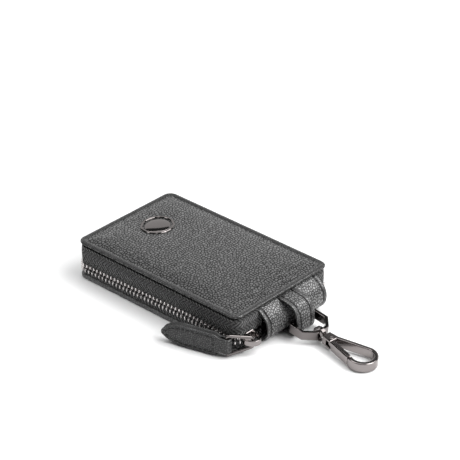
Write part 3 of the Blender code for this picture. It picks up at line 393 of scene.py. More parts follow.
def track(distances):
    """x, y and outward angle at distances along the zip: five straight runs and four quarter circles of
    the case's outline, from behind the spine's near end, round the near side, to behind its far end."""
    x, y, angle, left = case_length / 2, spine_near + tape_tuck, 0.0, distances
    for run in track_runs:
        step = np.clip(left, 0, run)
        x, y = x + step * np.sin(angle), y - step * np.cos(angle)
        turn = np.clip((left - run) / corner_radius, 0, pi / 2)
        middle_x, middle_y = x - corner_radius * np.cos(angle), y - corner_radius * np.sin(angle)
        angle = angle - turn
        x, y = middle_x + corner_radius * np.cos(angle), middle_y + corner_radius * np.sin(angle)
        left = left - run - corner_radius * pi / 2
    return x, y, angle


def eased(value, start, run):
    """0 up to the start, 1 past the run, and a smooth rise between them."""
    share = np.clip((value - start) / run, 0, 1)
    return share * share * (3 - 2 * share)


def chain_middle(x):
    """Height of the middle of the chain: it rises evenly along the case, then dips to the slider."""
    dip_start = 26 * mm
    rise = 6.7 * mm + 2.0 * mm * (x + 56 * mm) / (82 * mm)
    return np.where(x < dip_start, rise, 8.7 * mm - 0.7 * mm * eased(x, dip_start, 20 * mm))


def on_track(distances, outsets, heights):
    """Points beside the track: outset is outwards of the case's outline."""
    x, y, angle = track(distances)
    points = np.broadcast_arrays(x + outsets * np.cos(angle), y + outsets * np.sin(angle), heights)
    return np.stack(points, -1)


def herringbone(name, dark, light, pitch, rows, depth):
    """Zip tape woven in herringbone: slanting ribs along the UV map's length that turn back at each
    row."""
    paint, tree, shader = new_paint(name, {"Roughness": 0.8, "Sheen Weight": 0.2})
    flat = wire(tree, "UVMap", "UV", uv_map="UVMap")
    along, across = (wire(tree, "SeparateXYZ", axis, {0: flat}) for axis in (0, 1))
    slant = maths(tree, "ADD", along, maths(tree, "PINGPONG", across, rows))
    yarns = wave(tree, across, 0.45 * pitch)
    ribs = maths(tree, "MULTIPLY_ADD", yarns, 0.25, wave(tree, slant, pitch))
    height = maths(tree, "MULTIPLY_ADD", noise(tree, flat, 1800.0), 0.5, ribs)
    two_tone(shader, mapped(tree, height, old=(-0.7, 1.2)), dark, light)
    relief(shader, height, 0.9, depth)
    return paint


tape_cloth = herringbone("tape_cloth", 0.0, 0.052, 2.1 * mm, 3.1 * mm, 0.3 * mm)
tape_run = np.linspace(0, track_end, 420)
edge_to_foot = np.concatenate([np.linspace(0, 0.94, 18), np.linspace(0.955, 1, 6)])[None]
belly = np.sin(pi * edge_to_foot)
for name, node, body, side in (
    ("upper_tape", "upper_zip_tape", "lid", 1), ("lower_tape", "lower_zip_tape", "case_base", -1),
):
    edge = chain_middle(track(tape_run)[0])[:, None] + side * 0.9 * mm
    foot = (19.3 if side > 0 else 1.9) * mm
    height = edge + (foot - edge) * edge_to_foot
    if side > 0:
        bulge = 0.2 * mm * belly - 0.7 * mm - 1.2 * mm * eased(height, 18.95 * mm, 0.25 * mm)
    else:
        bulge = -0.7 * mm - 1.08 * mm * eased(-height, -2.9 * mm, 0.2 * mm)
    inner = on_track(tape_run[:, None], bulge - tape_thickness, height)
    uneven = 0.1 * mm * ripple(on_track(tape_run[:, None], bulge, height), 7 * mm, 5 + side)
    outer = on_track(tape_run[:, None], bulge + uneven * belly, height)
    tape = surface(name, np.concatenate([outer, inner[:, ::-1]], axis=1), tape_cloth, sharp=60)
    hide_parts(node)
    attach(tape, body)

# ---- Zip teeth and stops
# Polished metal teeth, each clenched round the corded edge of its tape: a narrow leg on the tape and a
# wider head that locks between the heads of the other row. A square stop ends each row.


def metal(name, colour, roughness, scratch=0.15):
    """Plated and polished metal with a faint unevenness in its gloss, on the Object coordinates."""
    paint, tree, shader = new_paint(name, {"Base Color": rgba(colour), "Metallic": 1.0})
    place = wire(tree, "TexCoord", "Object")
    gloss = mapped(tree, noise(tree, place, 260.0, 3.0), new=(roughness * 0.7, roughness * 1.4))
    feed(shader, {"Roughness": gloss})
    relief(shader, noise(tree, place, 1500.0), scratch, 0.02 * mm)
    return paint


tooth_metal = metal("tooth_metal", (0.62, 0.595, 0.59), 0.2)
tooth_pitch = 2.55 * mm
first_tooth = first_run + corner_radius * radians(52)
last_tooth = track_end - tape_tuck - 1.4 * mm - tooth_pitch
tooth_levels = np.array([2.5, 2.42, 1.7, 1.0, 0.5, 0.0, -0.45, -0.62, -0.66]) * mm
tooth_widths = np.array([0.5, 0.82, 0.92, 0.9, 0.84, 0.8, 0.78, 0.6, 0.3]) * mm
tooth_fronts = np.array([-0.2, 0.15, 0.28, 0.26, 0.05, -0.25, -0.4, -0.6, -0.9]) * mm
tooth_back = -1.9 * mm
tooth_round = np.array([
    (-0.5, 0), (-0.5, 0.75), (-0.3, 0.97), (0, 1), (0.3, 0.97), (0.5, 0.75), (0.5, 0)
])
head_height = 0.6 * mm
upper_setback = 0.45 * mm


def tooth_row(name, side, distances, body):
    """Teeth at distances along the track. Each is a stack of rounded sections whose width and front
    follow the tooth's height; side is 1 for the row that hangs from the lid, whose heads lie further
    back."""
    width = tooth_widths[:, None] * tooth_round[:, 0]
    fronts = tooth_fronts - (upper_setback if side > 0 else 0.0) * (tooth_levels < head_height)
    front = tooth_back + (fronts - tooth_back)[:, None] * tooth_round[:, 1]
    height = chain_middle(track(distances)[0])[:, None, None] + side * tooth_levels[:, None]
    row = surface(name, on_track(distances[:, None, None] + width, front, height), tooth_metal, sharp=35)
    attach(row, body)
    return row


def replate(names, paint):
    """Gives CAD pieces a metal of this scene in place of their own."""
    for name in names:
        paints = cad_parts[name].data.materials
        paints.clear()
        paints.append(paint)


count = int((last_tooth - first_tooth + tooth_pitch) / tooth_pitch)
lower_places = first_tooth + tooth_pitch * np.arange(-1, count)
lower_row = tooth_row("lower_teeth", -1, lower_places, "case_base")
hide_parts("lower_zip_teeth")
upper_row = tooth_row("upper_teeth", 1, lower_places + tooth_pitch / 2, "lid")
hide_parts("upper_zip_teeth")
stops = "lower_zip_stop_near", "lower_zip_stop_far", "upper_zip_stop_near", "upper_zip_stop_far"
replate(stops, tooth_metal)

# ---- Top cover
# Grained leather over a thin pad on board. The edge is rolled over and pressed down, which leaves a
# smooth bead round the panel, a crease inside it, and small puckers where the pad begins.
grained_leather = leather("grained_leather", 0.002, 0.086, 1.6 * mm, 0.2 * mm, 0.5, 0.3, 1.0)
smooth_leather = leather("smooth_leather", 0.02, 0.034, 1.2 * mm, 0.03 * mm, 0.4, 0.4, 0.7)
lid_low = 19.6 * mm
badge_place = np.array([-34.4, 3.1]) * mm
bead_profile = np.array([
    (35, 0), (20, 0), (3.5, 0), (2.2, 0.05), (1.3, 0.22), (0.6, 0.56), (0.15, 1.02), (0, 1.42),
    (0.1, 1.78), (0.42, 2.06), (0.95, 2.24), (1.5, 2.3), (2, 2.28), (2.5, 2.15), (2.95, 1.92),
    (3.3, 1.78),
]) * mm
pad_insets = np.concatenate([np.linspace(3.6, 9, 26), np.linspace(9.6, 34, 40), [35.0]]) * mm
pad_rise = 1.8 * mm + 1.3 * mm * (1 - np.exp(-(pad_insets - 3.5 * mm) / (5 * mm)))
lid_profile = np.concatenate([bead_profile, np.stack([pad_insets, pad_rise], -1)])
lid = raised(case_rings(lid_profile[:, 0], 12, 0.5 * mm), lid_low + lid_profile[:, 1, None])
x, y = lid[..., 0], lid[..., 1]
inset = np.broadcast_to(lid_profile[:, :1], x.shape)
on_pad = (np.arange(len(lid_profile)) >= len(bead_profile) - 1)[:, None]
flat_place = raised(lid[..., :2], 0.0)
puckers = 0.1 * mm * np.exp(-((inset - 4.6 * mm) / (1.6 * mm)) ** 2) * ripple(flat_place, 2.6 * mm, 11)
pulled = np.exp(-np.abs(x - 47 * mm) / (6 * mm)) * np.clip((inset - 3.6 * mm) / (1 * mm), 0, 1)
streaks = 0.24 * mm * pulled * ripple(flat_place * [1.0, 0.16, 1.0], 2.3 * mm, 14)
swells = 0.03 * mm * (1 - np.exp(-inset / (6 * mm))) * ripple(flat_place, 13 * mm, 12)
crown = 0.3 * mm * (1 - (x / (56 * mm)) ** 2) * (1 - (y / (35 * mm)) ** 2)
from_bead = 1 - np.exp(-np.clip(inset - 3.5 * mm, 0, 1) / (4 * mm))
lower_end = 0.85 * mm * (np.clip((x - 22 * mm) / (30 * mm), 0, 1) * from_bead) ** 1.5
from_badge = np.linalg.norm(lid[..., :2] - badge_place, axis=-1)
badge_dip = 0.6 * mm * np.exp(-(from_badge / (13 * mm)) ** 4)
lid[..., 2] += on_pad * (puckers + streaks + swells + crown - lower_end) - badge_dip
zone = (np.arange(len(lid_profile) - 1) < len(bead_profile) - 2).astype(int)[:, None]
top = surface("top_cover_leather", lid, [grained_leather, smooth_leather], caps=False, zones=zone)
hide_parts("top_cover")
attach(top, "lid")

# ---- Badge
# A plain oval of polished metal: a narrow frame with a low dome inside it, pressed down into the
# lid's pad so that the leather dips round it.
# gunmetal is a dark plating, made darker than the hook's metal as painted shade for the shaded table
# that the ring's faces mirror.
gunmetal = metal("gunmetal", (0.165, 0.151, 0.148), 0.08, 0.04)
badge_base = 22.25 * mm


def whole_turn(steps):
    """Even angles round a whole turn."""
    return np.linspace(0, tau, steps, endpoint=False)


def oval_rings(profile):
    """Rows round the badge: ellipses of each half length, 2 mm wider than long, at each height."""
    halves = profile[:, None, :1] + [0.0, 1.0 * mm]
    return raised(badge_place + halves * circle(whole_turn(64)), badge_base + profile[:, 1:])


frame_section = np.array([(8.5, 0), (8.5, 0.55), (8.25, 0.8), (7.45, 0.8), (7.2, 0.55), (7.2, 0)]) * mm
badge_frame = surface("badge_frame_metal", oval_rings(frame_section), gunmetal, loop=True, sharp=30)
dome_turn = np.linspace(0, pi / 2, 14)
dome_section = np.stack([6.5 * np.cos(dome_turn) + 0.001, 0.75 * np.sin(dome_turn)], -1)
dome_section = np.concatenate([[(0.001, 0.0)], dome_section]) * mm
dome = surface("badge_dome_metal", oval_rings(dome_section), gunmetal)
for piece, node in ((badge_frame, "badge_frame"), (dome, "badge_dome")):
    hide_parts(node)
    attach(piece, "lid")

# ---- Spine
# A thick strip of the same leather, lined like the covers, that joins them and bulges out between
# them. Its two ends are cut square, painted dark, and sewn through in a line just inside the edge.
facing_out = 0, -pi / 4, 0
edge_paint = leather("edge_paint", 0.02, 0.034, 0.9 * mm, 0.03 * mm, 0.35, 0.5, 0.8)
# The spine and strap leather is painted lighter than the lid's same leather: painted light for the light
# that falls on their bulge from the right.
lightened_spine_leather = leather("lightened_spine_leather", 0.01, 0.155, 1.4 * mm, 0.2 * mm, 0.42, 0.6, 0.7, facing_out)
margin_leather = leather("margin_leather", 0.04, 0.07, 1.2 * mm, 0.05 * mm, 0.36, 0.7, 0.7, facing_out)
# The grooves along the seams are painted near black: painted shade for the shade inside the pressed
# grooves.
shaded_groove_leather = leather("shaded_groove_leather", 0.004, 0.008, 1.0 * mm, 0.05 * mm, 0.6, 0.2)
band_paints = [lightened_spine_leather, edge_paint, margin_leather, shaded_groove_leather, lining_cloth]
spine_middle = np.array([54.5, 9.1]) * mm
spine_half = np.array([7.8, 8.6]) * mm
spine_thickness = 1.4 * mm
stitch_setback = 2.5 * mm
groove_half = 0.42 * mm


def unit(ways):
    """Directions brought to length 1."""
    return ways / np.linalg.norm(ways, axis=-1, keepdims=True)


def upright(flat, y):
    """Points of x and z with a y between them."""
    return np.stack(np.broadcast_arrays(flat[..., 0], y, flat[..., 1]), -1)


def band(name, lines, thickness, near, far, seams, seed):
    """A leather band: the outline between an outer and an inner line in x and z is carried across y,
    with its long edges rounded off and a shallow groove pressed along each seam. Its zones are places
    in band_paints: 0 for the grain, 1 the edges, 2 past the seams, 3 the grooves, 4 the inside."""
    outer, inner = lines
    soft = 0.45 * thickness
    near_round, far_round = soft * (1 - circle(np.linspace(0, pi / 2, 5)).T)
    flat = np.linspace(near + soft, far - soft, int((far - near) / (0.3 * mm)))[1:-1]
    across = np.concatenate([near + near_round, flat, far - far_round])
    edge = np.minimum(across - near, far - across)
    drop = soft - np.sqrt(soft ** 2 - (soft - np.clip(edge, 0, soft)) ** 2)
    pressed = sum(np.exp(-((across - y) / (0.5 * mm)) ** 2) for y in seams) * 0.42 * mm
    way = unit(inner - outer)[:, None]
    uneven = ripple(upright(outer[:, None], across), 5 * mm, seed) * np.clip(edge / (2 * mm), 0, 1)
    sink = drop + pressed + 0.05 * mm * uneven
    front = upright(outer[:, None] + way * sink[..., None], across)
    back = upright(inner[:, None] - way * drop[:, None], across)
    columns = len(across)
    middle = (across + np.roll(across, -1)) / 2
    zones = np.full(2 * columns, 4)
    zones[:columns] = np.where((middle < seams[0]) | (middle > seams[1]), 2, 0)
    zones[:columns][np.abs(middle[:, None] - seams).min(axis=1) < groove_half] = 3
    zones[np.r_[0:2, columns - 3:columns + 2, 2 * columns - 3:2 * columns]] = 1
    grid = np.concatenate([front, back[:, ::-1]], axis=1)
    return surface(name, grid, band_paints, zones=zones[None], sharp=50)


def spine_line(setback, steps=48):
    """Part of an ellipse in x and z, from under the lid out and down to the bottom cover, whose first
    part rises by 1.5 mm more to meet the lid."""
    turn = np.linspace(pi / 2, radians(-72), steps)
    tuck = 1.5 * mm * np.clip((turn - radians(58)) / radians(32), 0, 1) ** 1.5
    line = spine_middle + (spine_half - setback) * circle(turn)
    line[:, 1] += tuck
    return line


spine_lines = spine_line(0.0), spine_line(spine_thickness)
spine_seams = spine_near + stitch_setback, spine_far - stitch_setback
spine = band("spine_leather_band", spine_lines, spine_thickness, spine_near, spine_far, spine_seams, 21)
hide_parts("spine_panel")
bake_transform(spine)

# Waxed black sewing thread with its twist, on the UV map.
black_thread, tree, shader = new_paint("black_thread", {"Base Color": rgba(0.005), "Roughness": 0.55})
flat = wire(tree, "UVMap", "UV", uv_map="UVMap")
slant = maths(tree, "ADD", *(wire(tree, "SeparateXYZ", axis, {0: flat}) for axis in (0, 1)))
relief(shader, wave(tree, slant, 0.3 * mm), 0.8, 0.03 * mm)


def stitches(name, line, ups, pitch, length, radius):
    """Stitches along a line of points: each is a short rounded bar of thread that dips in at both ends.
    ups are the surface's outward directions at the line's points."""
    walk = np.cumsum([0.0, *np.linalg.norm(np.diff(line, axis=0), axis=1)])
    shares = np.linspace(-0.5, 0.5, 7)
    points = np.arange(pitch / 2, walk[-1], pitch)[:, None] + shares * length
    centre, up = (
        np.stack([np.interp(points, walk, values[:, k]) for k in range(3)], -1) for values in (line, ups)
    )
    up = unit(up)
    side = np.cross(up, unit(centre[:, -1:] - centre[:, :1]))
    fat = radius * np.sqrt(np.clip(1 - (shares * 1.96) ** 4, 0.02, 1))
    lift = radius * (0.3 - 2.6 * np.abs(shares) ** 3)
    rounds = fat[:, None, None] * circle(whole_turn(6))
    middle = (centre + up * lift[:, None])[:, :, None]
    ring = middle + side[:, :, None] * rounds[..., :1] + up[:, :, None] * rounds[..., 1:]
    return surface(name, ring, black_thread, sharp=80)


def band_seam(name, lines, y, first, last=None):
    """A seam on a band at one y, between two places of its outer line, sunk into its groove."""
    outer, inner = lines
    ups = unit(outer - inner)[first:last]
    line = upright(outer[first:last] - ups * 0.4 * mm, y)
    return stitches(name, line, upright(ups, 0.0), 2.4 * mm, 1.9 * mm, 0.22 * mm)


for label, y in zip(("near", "far"), spine_seams):
    seam = band_seam("spine_stitches_" + label, spine_lines, y, 4, -2)
    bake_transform(seam)

# ---- Ring strap
# A narrower strap of the same leather: sewn under the lid's edge, it comes out over the spine, turns
# down and folds back under the near bar of the ring. Two lines of stitches run its whole length.
strap_near = -3.8 * mm
strap_far = 9.35 * mm
strap_thickness = 1.3 * mm
ring_pivot = np.array([64.7, 3.6, 6.7632]) * mm
fold_half = np.array([4.1632 * mm, ring_pivot[2] - 1.0 * mm])


def quadratic(start, pull, end, s):
    """Points at shares s of a quadratic curve from start to end, pulled towards a third point."""
    return (1 - s) ** 2 * start + 2 * s * (1 - s) * pull + s * s * end


def strap_line(setback, steps=26):
    """A cubic curve out over the spine and down to the ring's height, a quarter ellipse round the ring's
    bar, and a straight run back under it, moved inwards by the setback."""
    front = ring_pivot[0] + fold_half[0]
    top = 19.3 * mm
    rise = ring_pivot[2] + (top - ring_pivot[2]) * 0.8
    reach = front - (front - spine_middle[0]) * 0.2
    ends = np.array([(spine_middle[0], top), (reach, top), (front, rise), (front, ring_pivot[2])])
    s = np.linspace(0, 1, steps)[:, None]
    line = (1 - s) * quadratic(*ends[:3], s) + s * quadratic(*ends[1:], s)
    run = quadratic(*np.diff(ends, axis=0), s)
    out = unit(np.stack([-run[:, 1], run[:, 0]], -1))
    turn = np.linspace(0, -pi / 2, 16)[1:]
    fold = ring_pivot[[0, 2]] + (fold_half - setback) * circle(turn)
    low = 1.0 * mm + setback
    tail = np.linspace((ring_pivot[0], low), (58.6 * mm, low), 8)[1:]
    return np.concatenate([line - out * setback, fold, tail])


strap_lines = strap_line(0.0), strap_line(strap_thickness)
strap_seams = strap_near + 2.5 * mm, strap_far - 3.0 * mm
strap = band("ring_strap_leather", strap_lines, strap_thickness, strap_near, strap_far, strap_seams, 33)
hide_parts("ring_strap")
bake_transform(strap)
for label, y in zip(("near", "far"), strap_seams):
    seam = band_seam("strap_stitches_" + label, strap_lines, y, 2)
    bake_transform(seam)

# ---- Strap ring
# Flat bar bent into a ring with two corners cut off, its edges bevelled and polished. Its straight
# near bar lies in the fold of the strap.


def rounded_corners(corners, radius, steps):
    """A closed line through corners, each replaced by a quadratic curve from a radius before it."""
    start, end = (corners + radius * unit(np.roll(corners, way, 0) - corners) for way in (1, -1))
    s = np.linspace(0, 1, steps)[:, None]
    return quadratic(start[:, None], corners[:, None], end[:, None], s).reshape(-1, 2)


def drawn_in(corners, distance):
    """A convex outline, anticlockwise, with each side moved inwards by a distance."""
    sides = np.roll(corners, -1, 0) - corners
    after = np.arctan2(sides[:, 1], sides[:, 0])
    before = np.roll(after, 1)
    half = (after - before) % tau / 2
    return corners + circle(before + half + pi / 2) * (distance / np.cos(half))[:, None]


def flat_bar(outer, inner, section):
    """Rows of a bar between two outlines: section lists how far across from outer to inner, from 0 to 1,
    and the height, in metres."""
    return raised(outer[:, None] + (inner - outer)[:, None] * section[:, :1], section[:, 1])


def bevelled(half, outer_round, inner_round, wall):
    """A bar's section as share across and height: a rectangle whose four edges are quarter circles of
    the outer or the inner radius, each with a support point past both its ends for flat faces."""
    support = 0.08 * mm
    quarters = []
    for side, level in ((0, 1), (1, 1), (1, -1), (0, -1)):
        radius = inner_round if side else outer_round
        across, drop = radius * (1 - circle(np.linspace(0, pi / 2, 5)).T)
        across = np.concatenate([[0.0], across, [radius + support]]) / wall
        height = half - np.concatenate([[radius + support], drop, [0.0]])
        quarter = np.stack([1 - across if side else across, level * height], -1)
        quarters.append(quarter[::-1] if side == (level > 0) else quarter)
    return np.concatenate(quarters)


def placed(points, move, turn_y, turn_z=0.0):
    """Points of a piece turned about y, then about z, then moved into place."""
    turn = np.array(Matrix.Rotation(turn_z, 3, "Z") @ Matrix.Rotation(turn_y, 3, "Y"))
    return points @ turn.T + move


ring_wall = 1.8 * mm
ring_corners = np.array([
    (0.5, -9.9), (8.8, -9.9), (14.3, -4.1), (14.3, 4.1), (8.8, 9.9), (0.5, 9.9), (-0.9, 8.5),
    (-0.9, -8.5),
]) * mm
ring_rows = flat_bar(
    rounded_corners(ring_corners, 0.7 * mm, 5),
    rounded_corners(drawn_in(ring_corners, ring_wall), 0.35 * mm, 5),
    bevelled(2.4 * mm, 0.22 * mm, 0.3 * mm, ring_wall),
)
ring = surface(
    "strap_ring_metal", placed(ring_rows, ring_pivot, radians(7.5)), gunmetal, loop=True, sharp=25
)
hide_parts("strap_ring")
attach(ring, "ring")

# ---- Swivel eye
# A cast eye round the ring's end bar, with a neck whose head is held inside the hook's boss, so that
# the hook can spin on it.
eye_place = np.array([77.9854, 2.3, 5.0141]) * mm
hook_turn = radians(3.4), radians(-6)


def on_hook(name, rows, paint, loop=False, sharp=25):
    """A piece whose rows are in the hook's own axes, from the eye's middle along the hook."""
    return surface(name, placed(rows, eye_place, *hook_turn), paint, loop=loop, sharp=sharp)


def turned(profile):
    """Rows of a shape turned about its own x axis from a list of x and radius."""
    sides = profile[:, 1:] * circle(whole_turn(28)).T[:, None]
    return np.stack(np.broadcast_arrays(profile[:, :1], *sides), -1)


eye_section = np.array([
    (2.863, -1.0), (2.863, 1.0), (3.05, 1.3), (3.6, 1.3), (3.863, 1.0), (3.863, -1.0), (3.6, -1.3),
    (3.05, -1.3),
]) * mm
eye_circle = circle(whole_turn(40))[:, None]
eye_rows = upright(eye_section[:, :1] * eye_circle, eye_section[:, 1])
eye = on_hook("swivel_eye_metal", eye_rows, gunmetal, loop=True, sharp=30)
neck_profile = np.array([
    (3.4, 0.3), (3.5, 1.2), (3.9, 0.95), (5.2, 0.9), (5.46, 0.9), (5.46, 1.5), (6.1, 1.5), (6.16, 0.3)
]) * mm
neck = on_hook("swivel_neck_metal", turned(neck_profile), gunmetal, sharp=30)
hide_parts("swivel_eye")
for piece in (eye, neck):
    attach(piece, "eye")

# ---- Snap hook
# A cast hook: a tapered boss, one limb that runs out and bends round the end, and a nose that meets
# the gate. All its edges are bevelled, and its faces are polished to a soft shine.
hook_metal = metal("hook_metal", (0.26, 0.238, 0.234), 0.09, 0.05)
hook_half = 2.6 * mm
limb_wall = 2.3 * mm
bend_middle = np.array([28.0, 1.7]) * mm
bend_radius = 7.9 * mm
boss_back, boss_front = 4.163 * mm, 10.163 * mm
gate_end = 24.6 * mm


def limb_line(radius, boss_side):
    """The hook's outline on one side: round the end from its nose, then straight back to the boss."""
    cut = acos((gate_end + 0.3 * mm - bend_middle[0]) / radius)
    turn = np.linspace(-cut, radians(100), 44)
    bend = bend_middle + radius * circle(turn)
    straight = np.linspace(bend[-1], (boss_front - 0.6 * mm, boss_side), 14)
    return np.concatenate([bend, straight[1:]])


limb_rows = flat_bar(
    limb_line(bend_radius, 3.2 * mm), limb_line(bend_radius - limb_wall, 0.9 * mm),
    bevelled(hook_half, 0.6 * mm, 0.45 * mm, limb_wall),
)
limb = on_hook("hook_limb_metal", limb_rows, hook_metal)


def block(outline, low, high, bevel):
    """Rows of a block over a flat convex outline, anticlockwise, with its top and bottom edges cut."""
    inside = drawn_in(outline, bevel)
    levels = (inside, low), (outline, low + bevel), (outline, high - bevel), (inside, high)
    return np.stack([raised(edge, height) for edge, height in levels])


def carve(piece, cutters):
    """Cuts shapes out of a piece with exact Booleans, keeps the result as its mesh, and removes them."""
    for cutter in cutters:
        cut = piece.modifiers.new("cut", "BOOLEAN")
        cut.object, cut.operation, cut.solver = cutter, "DIFFERENCE", "EXACT"
    bpy.context.view_layer.update()
    done = bpy.data.meshes.new_from_object(piece.evaluated_get(bpy.context.evaluated_depsgraph_get()))
    piece.modifiers.clear()
    piece.data = done
    for cutter in cutters:
        bpy.data.objects.remove(cutter)
    done.shade_smooth()
    done.set_sharp_from_angle(angle=radians(25))


pin_place = np.array([8.663, -0.9]) * mm
boss_outline = np.array([
    (boss_back, -2.5 * mm), (boss_front, -3.2 * mm), (boss_front, 3.2 * mm), (boss_back, 2.5 * mm)
])
boss_rows = block(boss_outline, -hook_half, hook_half, 0.35 * mm)
boss = on_hook("hook_boss_metal", boss_rows, hook_metal)
slot_outline = np.array([(6.9, -5.0), (11.5, -5.0), (11.5, 0.9), (6.9, 0.9)]) * mm
slot = on_hook("slot_cutter", block(slot_outline, -1.5 * mm, 1.5 * mm, 0.05 * mm), hook_metal)
socket_profile = np.array([(3, 1.2), (5.2, 1.2), (5.2, 1.9), (6.5, 1.9)]) * mm
socket = on_hook("socket_cutter", turned(socket_profile), hook_metal)
carve(boss, [slot, socket])
step_outline = np.array([(24.0, -7.5), (25.7, -7.5), (25.7, -1.5), (24.0, -1.5)]) * mm
nose_step = on_hook("step_cutter", block(step_outline, 1.3 * mm, 3.2 * mm, 0.05 * mm), hook_metal)
carve(limb, [nose_step])
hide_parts("hook_body")
for piece in (limb, boss):
    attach(piece, "hook")

# ---- Gate and its rivet
# A straight sprung gate between the boss and the nose, on a round-headed rivet through the boss. A
# fine line parts its flat top from its outer face.
rivet_profile = np.array([
    (-3.2, 0.1), (-3.15, 0.7), (-2.95, 1.1), (-2.65, 1.25), (-2.6, 0.7), (2.6, 0.7), (2.65, 1.25),
    (2.95, 1.1), (3.15, 0.7), (3.2, 0.1),
]) * mm
rivet_rows = turned(rivet_profile)[..., [2, 1, 0]] + [*pin_place, 0.0]
rivet = on_hook("gate_rivet_metal", rivet_rows, gunmetal, sharp=35)
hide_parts("gate_pin")
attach(rivet, "hook")

gate_outer = np.array([(10.463, -3.2), (24.25, -5.4)]) * mm
gate_inner = np.array([(10.463, -0.85), (24.6, -3.0)]) * mm
gate_steps = np.array([0.0, 0.015, 0.05, 0.5, 0.93, 0.975, 1.0])[:, None]
gate_waist = np.array([0.25, 0.08, 0, 0, 0, 0.08, 0.25])[:, None] * mm
gate_way = np.array([-0.158, -0.987])
gate_rows = flat_bar(
    gate_outer[0] + (gate_outer[1] - gate_outer[0]) * gate_steps - gate_way * gate_waist,
    gate_inner[0] + (gate_inner[1] - gate_inner[0]) * gate_steps + gate_way * gate_waist,
    np.array([
        (0.0, -2.3), (0.0, 1.95), (0.07, 2.25), (0.11, 2.25), (0.13, 1.95), (0.2, 1.95), (0.22, 2.4),
        (0.25, 2.55), (0.92, 2.55), (1.0, 2.35), (1.0, -2.2), (0.86, -2.5), (0.14, -2.5),
    ]) * np.array([1.0, mm]),
)
gate = on_hook("hook_gate_metal", gate_rows, hook_metal)
tongue_outline = np.concatenate([
    pin_place + 1.45 * mm * circle(np.radians(np.linspace(80, 262, 12))),
    np.array([(10.9, -2.75), (11.4, -2.7), (11.4, -1.55), (10.4, -1.2)]) * mm,
])
tongue_rows = block(tongue_outline, -1.2 * mm, 1.2 * mm, 0.1 * mm)
tongue = on_hook("gate_tongue_metal", tongue_rows, hook_metal)
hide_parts("hook_gate")
for piece in (gate, tongue):
    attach(piece, "gate")

# ---- Zip slider
# A cast slider: a shield-shaped plate outside the teeth, a foot inside them, a neck between, and a
# broad arched bail on the plate that holds the puller's loop.
slider_y = -27.4 * mm
slider_z = 8.0 * mm
bail_z = 7.1 * mm


def slider_block(name, outline, x, thickness, bevel, paint):
    """A bevelled block that stands upright: its outline is in y and z about the slider's middle, and its
    thickness goes outwards from x."""
    rows = block(outline, x, x + thickness, bevel)[..., [2, 0, 1]]
    return surface(name, rows + [0.0, slider_y, slider_z], paint, sharp=30)


shield = np.array([
    (-3.4, -1.8), (-1.8, -3.4), (3, -3.4), (4.6, -1.8), (4.6, 1.8), (3, 3.4), (-1.8, 3.4), (-3.4, 1.8)
]) * mm
plate = slider_block("slider_plate_metal", shield, 56.3 * mm, 1.0 * mm, 0.25 * mm, hook_metal)
foot_outline = np.array([(-1.4, -2.5), (2.0, -2.5), (2.0, 2.5), (-1.4, 2.5)]) * mm
foot = slider_block("slider_foot_metal", foot_outline, 52.9 * mm, 1.0 * mm, 0.2 * mm, gunmetal)
neck_outline = np.array([(-0.8, -1.2), (0.8, -1.2), (0.8, 1.2), (-0.8, 1.2)]) * mm
slider_neck = slider_block("slider_neck_metal", neck_outline, 53.6 * mm, 3.0 * mm, 0.1 * mm, gunmetal)
arch = circle(np.linspace(-pi / 2, pi / 2, 30))
arch_root = np.array([56.8 * mm, slider_y + 1.0 * mm])
arch_outer = arch_root + np.array([6.4, 5.0]) * mm * arch
arch_inner = arch_root + np.array([5.2, 3.8]) * mm * arch
bail_rows = flat_bar(arch_outer, arch_inner, bevelled(1.5 * mm, 0.3 * mm, 0.3 * mm, 1.2 * mm))
bail = surface("slider_bail_metal", bail_rows + [0.0, 0.0, bail_z], hook_metal, sharp=25)
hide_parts("zip_slider")
for piece in (plate, foot, slider_neck, bail):
    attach(piece, "slider")

# ---- Puller loop
# A bent loop of polished wire, narrow in the bail and wide in the tab's fold. Its two long sides are
# pressed flatter and have a fine line along the middle.
loop_start = np.array([60.3, -27.9]) * mm
loop_end = np.array([53.0, -38.7]) * mm
loop_run = np.linalg.norm(loop_end - loop_start)
loop_way = unit(loop_end - loop_start)
loop_side = np.array([-loop_way[1], loop_way[0]])
loop_radius = 0.8 * mm
loop_corners = np.array([(0, 4.5 * mm), (loop_run, 1.4 * mm), (loop_run, 12.6 * mm), (0, 9.7 * mm)])
loop_bends = rounded_corners(loop_corners, 1.4 * mm, 9)
loop_path = []
for start, end in zip(loop_bends, np.roll(loop_bends, -1, 0)):
    cuts = max(1, int(np.linalg.norm(end - start) / mm))
    loop_path.append(np.linspace(start, end, cuts, endpoint=False))
loop_path = np.concatenate(loop_path)
ahead = unit(np.roll(loop_path, -1, 0) - np.roll(loop_path, 1, 0))
loop_out = np.stack([ahead[:, 1], -ahead[:, 0]], -1)[:, None]
wire_turn = whole_turn(24) + tau / 48
wire_round = loop_radius * circle(wire_turn)
wire_round *= (np.abs(circle(wire_turn)) ** 5).sum(axis=1, keepdims=True) ** -0.2
upright_path = loop_path[:, None] + loop_out * wire_round[:, :1]
loop_flat = loop_start + upright_path[..., :1] * loop_way + wire_round[:, 1:] * loop_side
loop_rows = raised(loop_flat, upright_path[..., 1])
loop = surface("puller_loop_metal", loop_rows, gunmetal, loop=True, sharp=50)
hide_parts("puller_loop")
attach(loop, "pull_loop")

# ---- Pull tab
# One strip of leather folded round the loop's wide bar and sewn to itself over a filler, cut to a
# pointed leaf. Its cut edges are painted, and a seam runs round it and across it by the fold.
tab_along = circle(radians(-164))
tab_out = np.array([-tab_along[1], tab_along[0]])
tab_length = 35.6 * mm
tab_point = 13.5 * mm
tab_middle = 6.4 * mm
tab_leaf = 1.4 * mm
leaf_mid = 1.4 * mm
fold_mid = 1.8 * mm
tab_leather = leather("tab_leather", 0.022, 0.054, 1.0 * mm, 0.06 * mm, 0.42, 0.5, 0.3, (pi / 2, 0, 0))


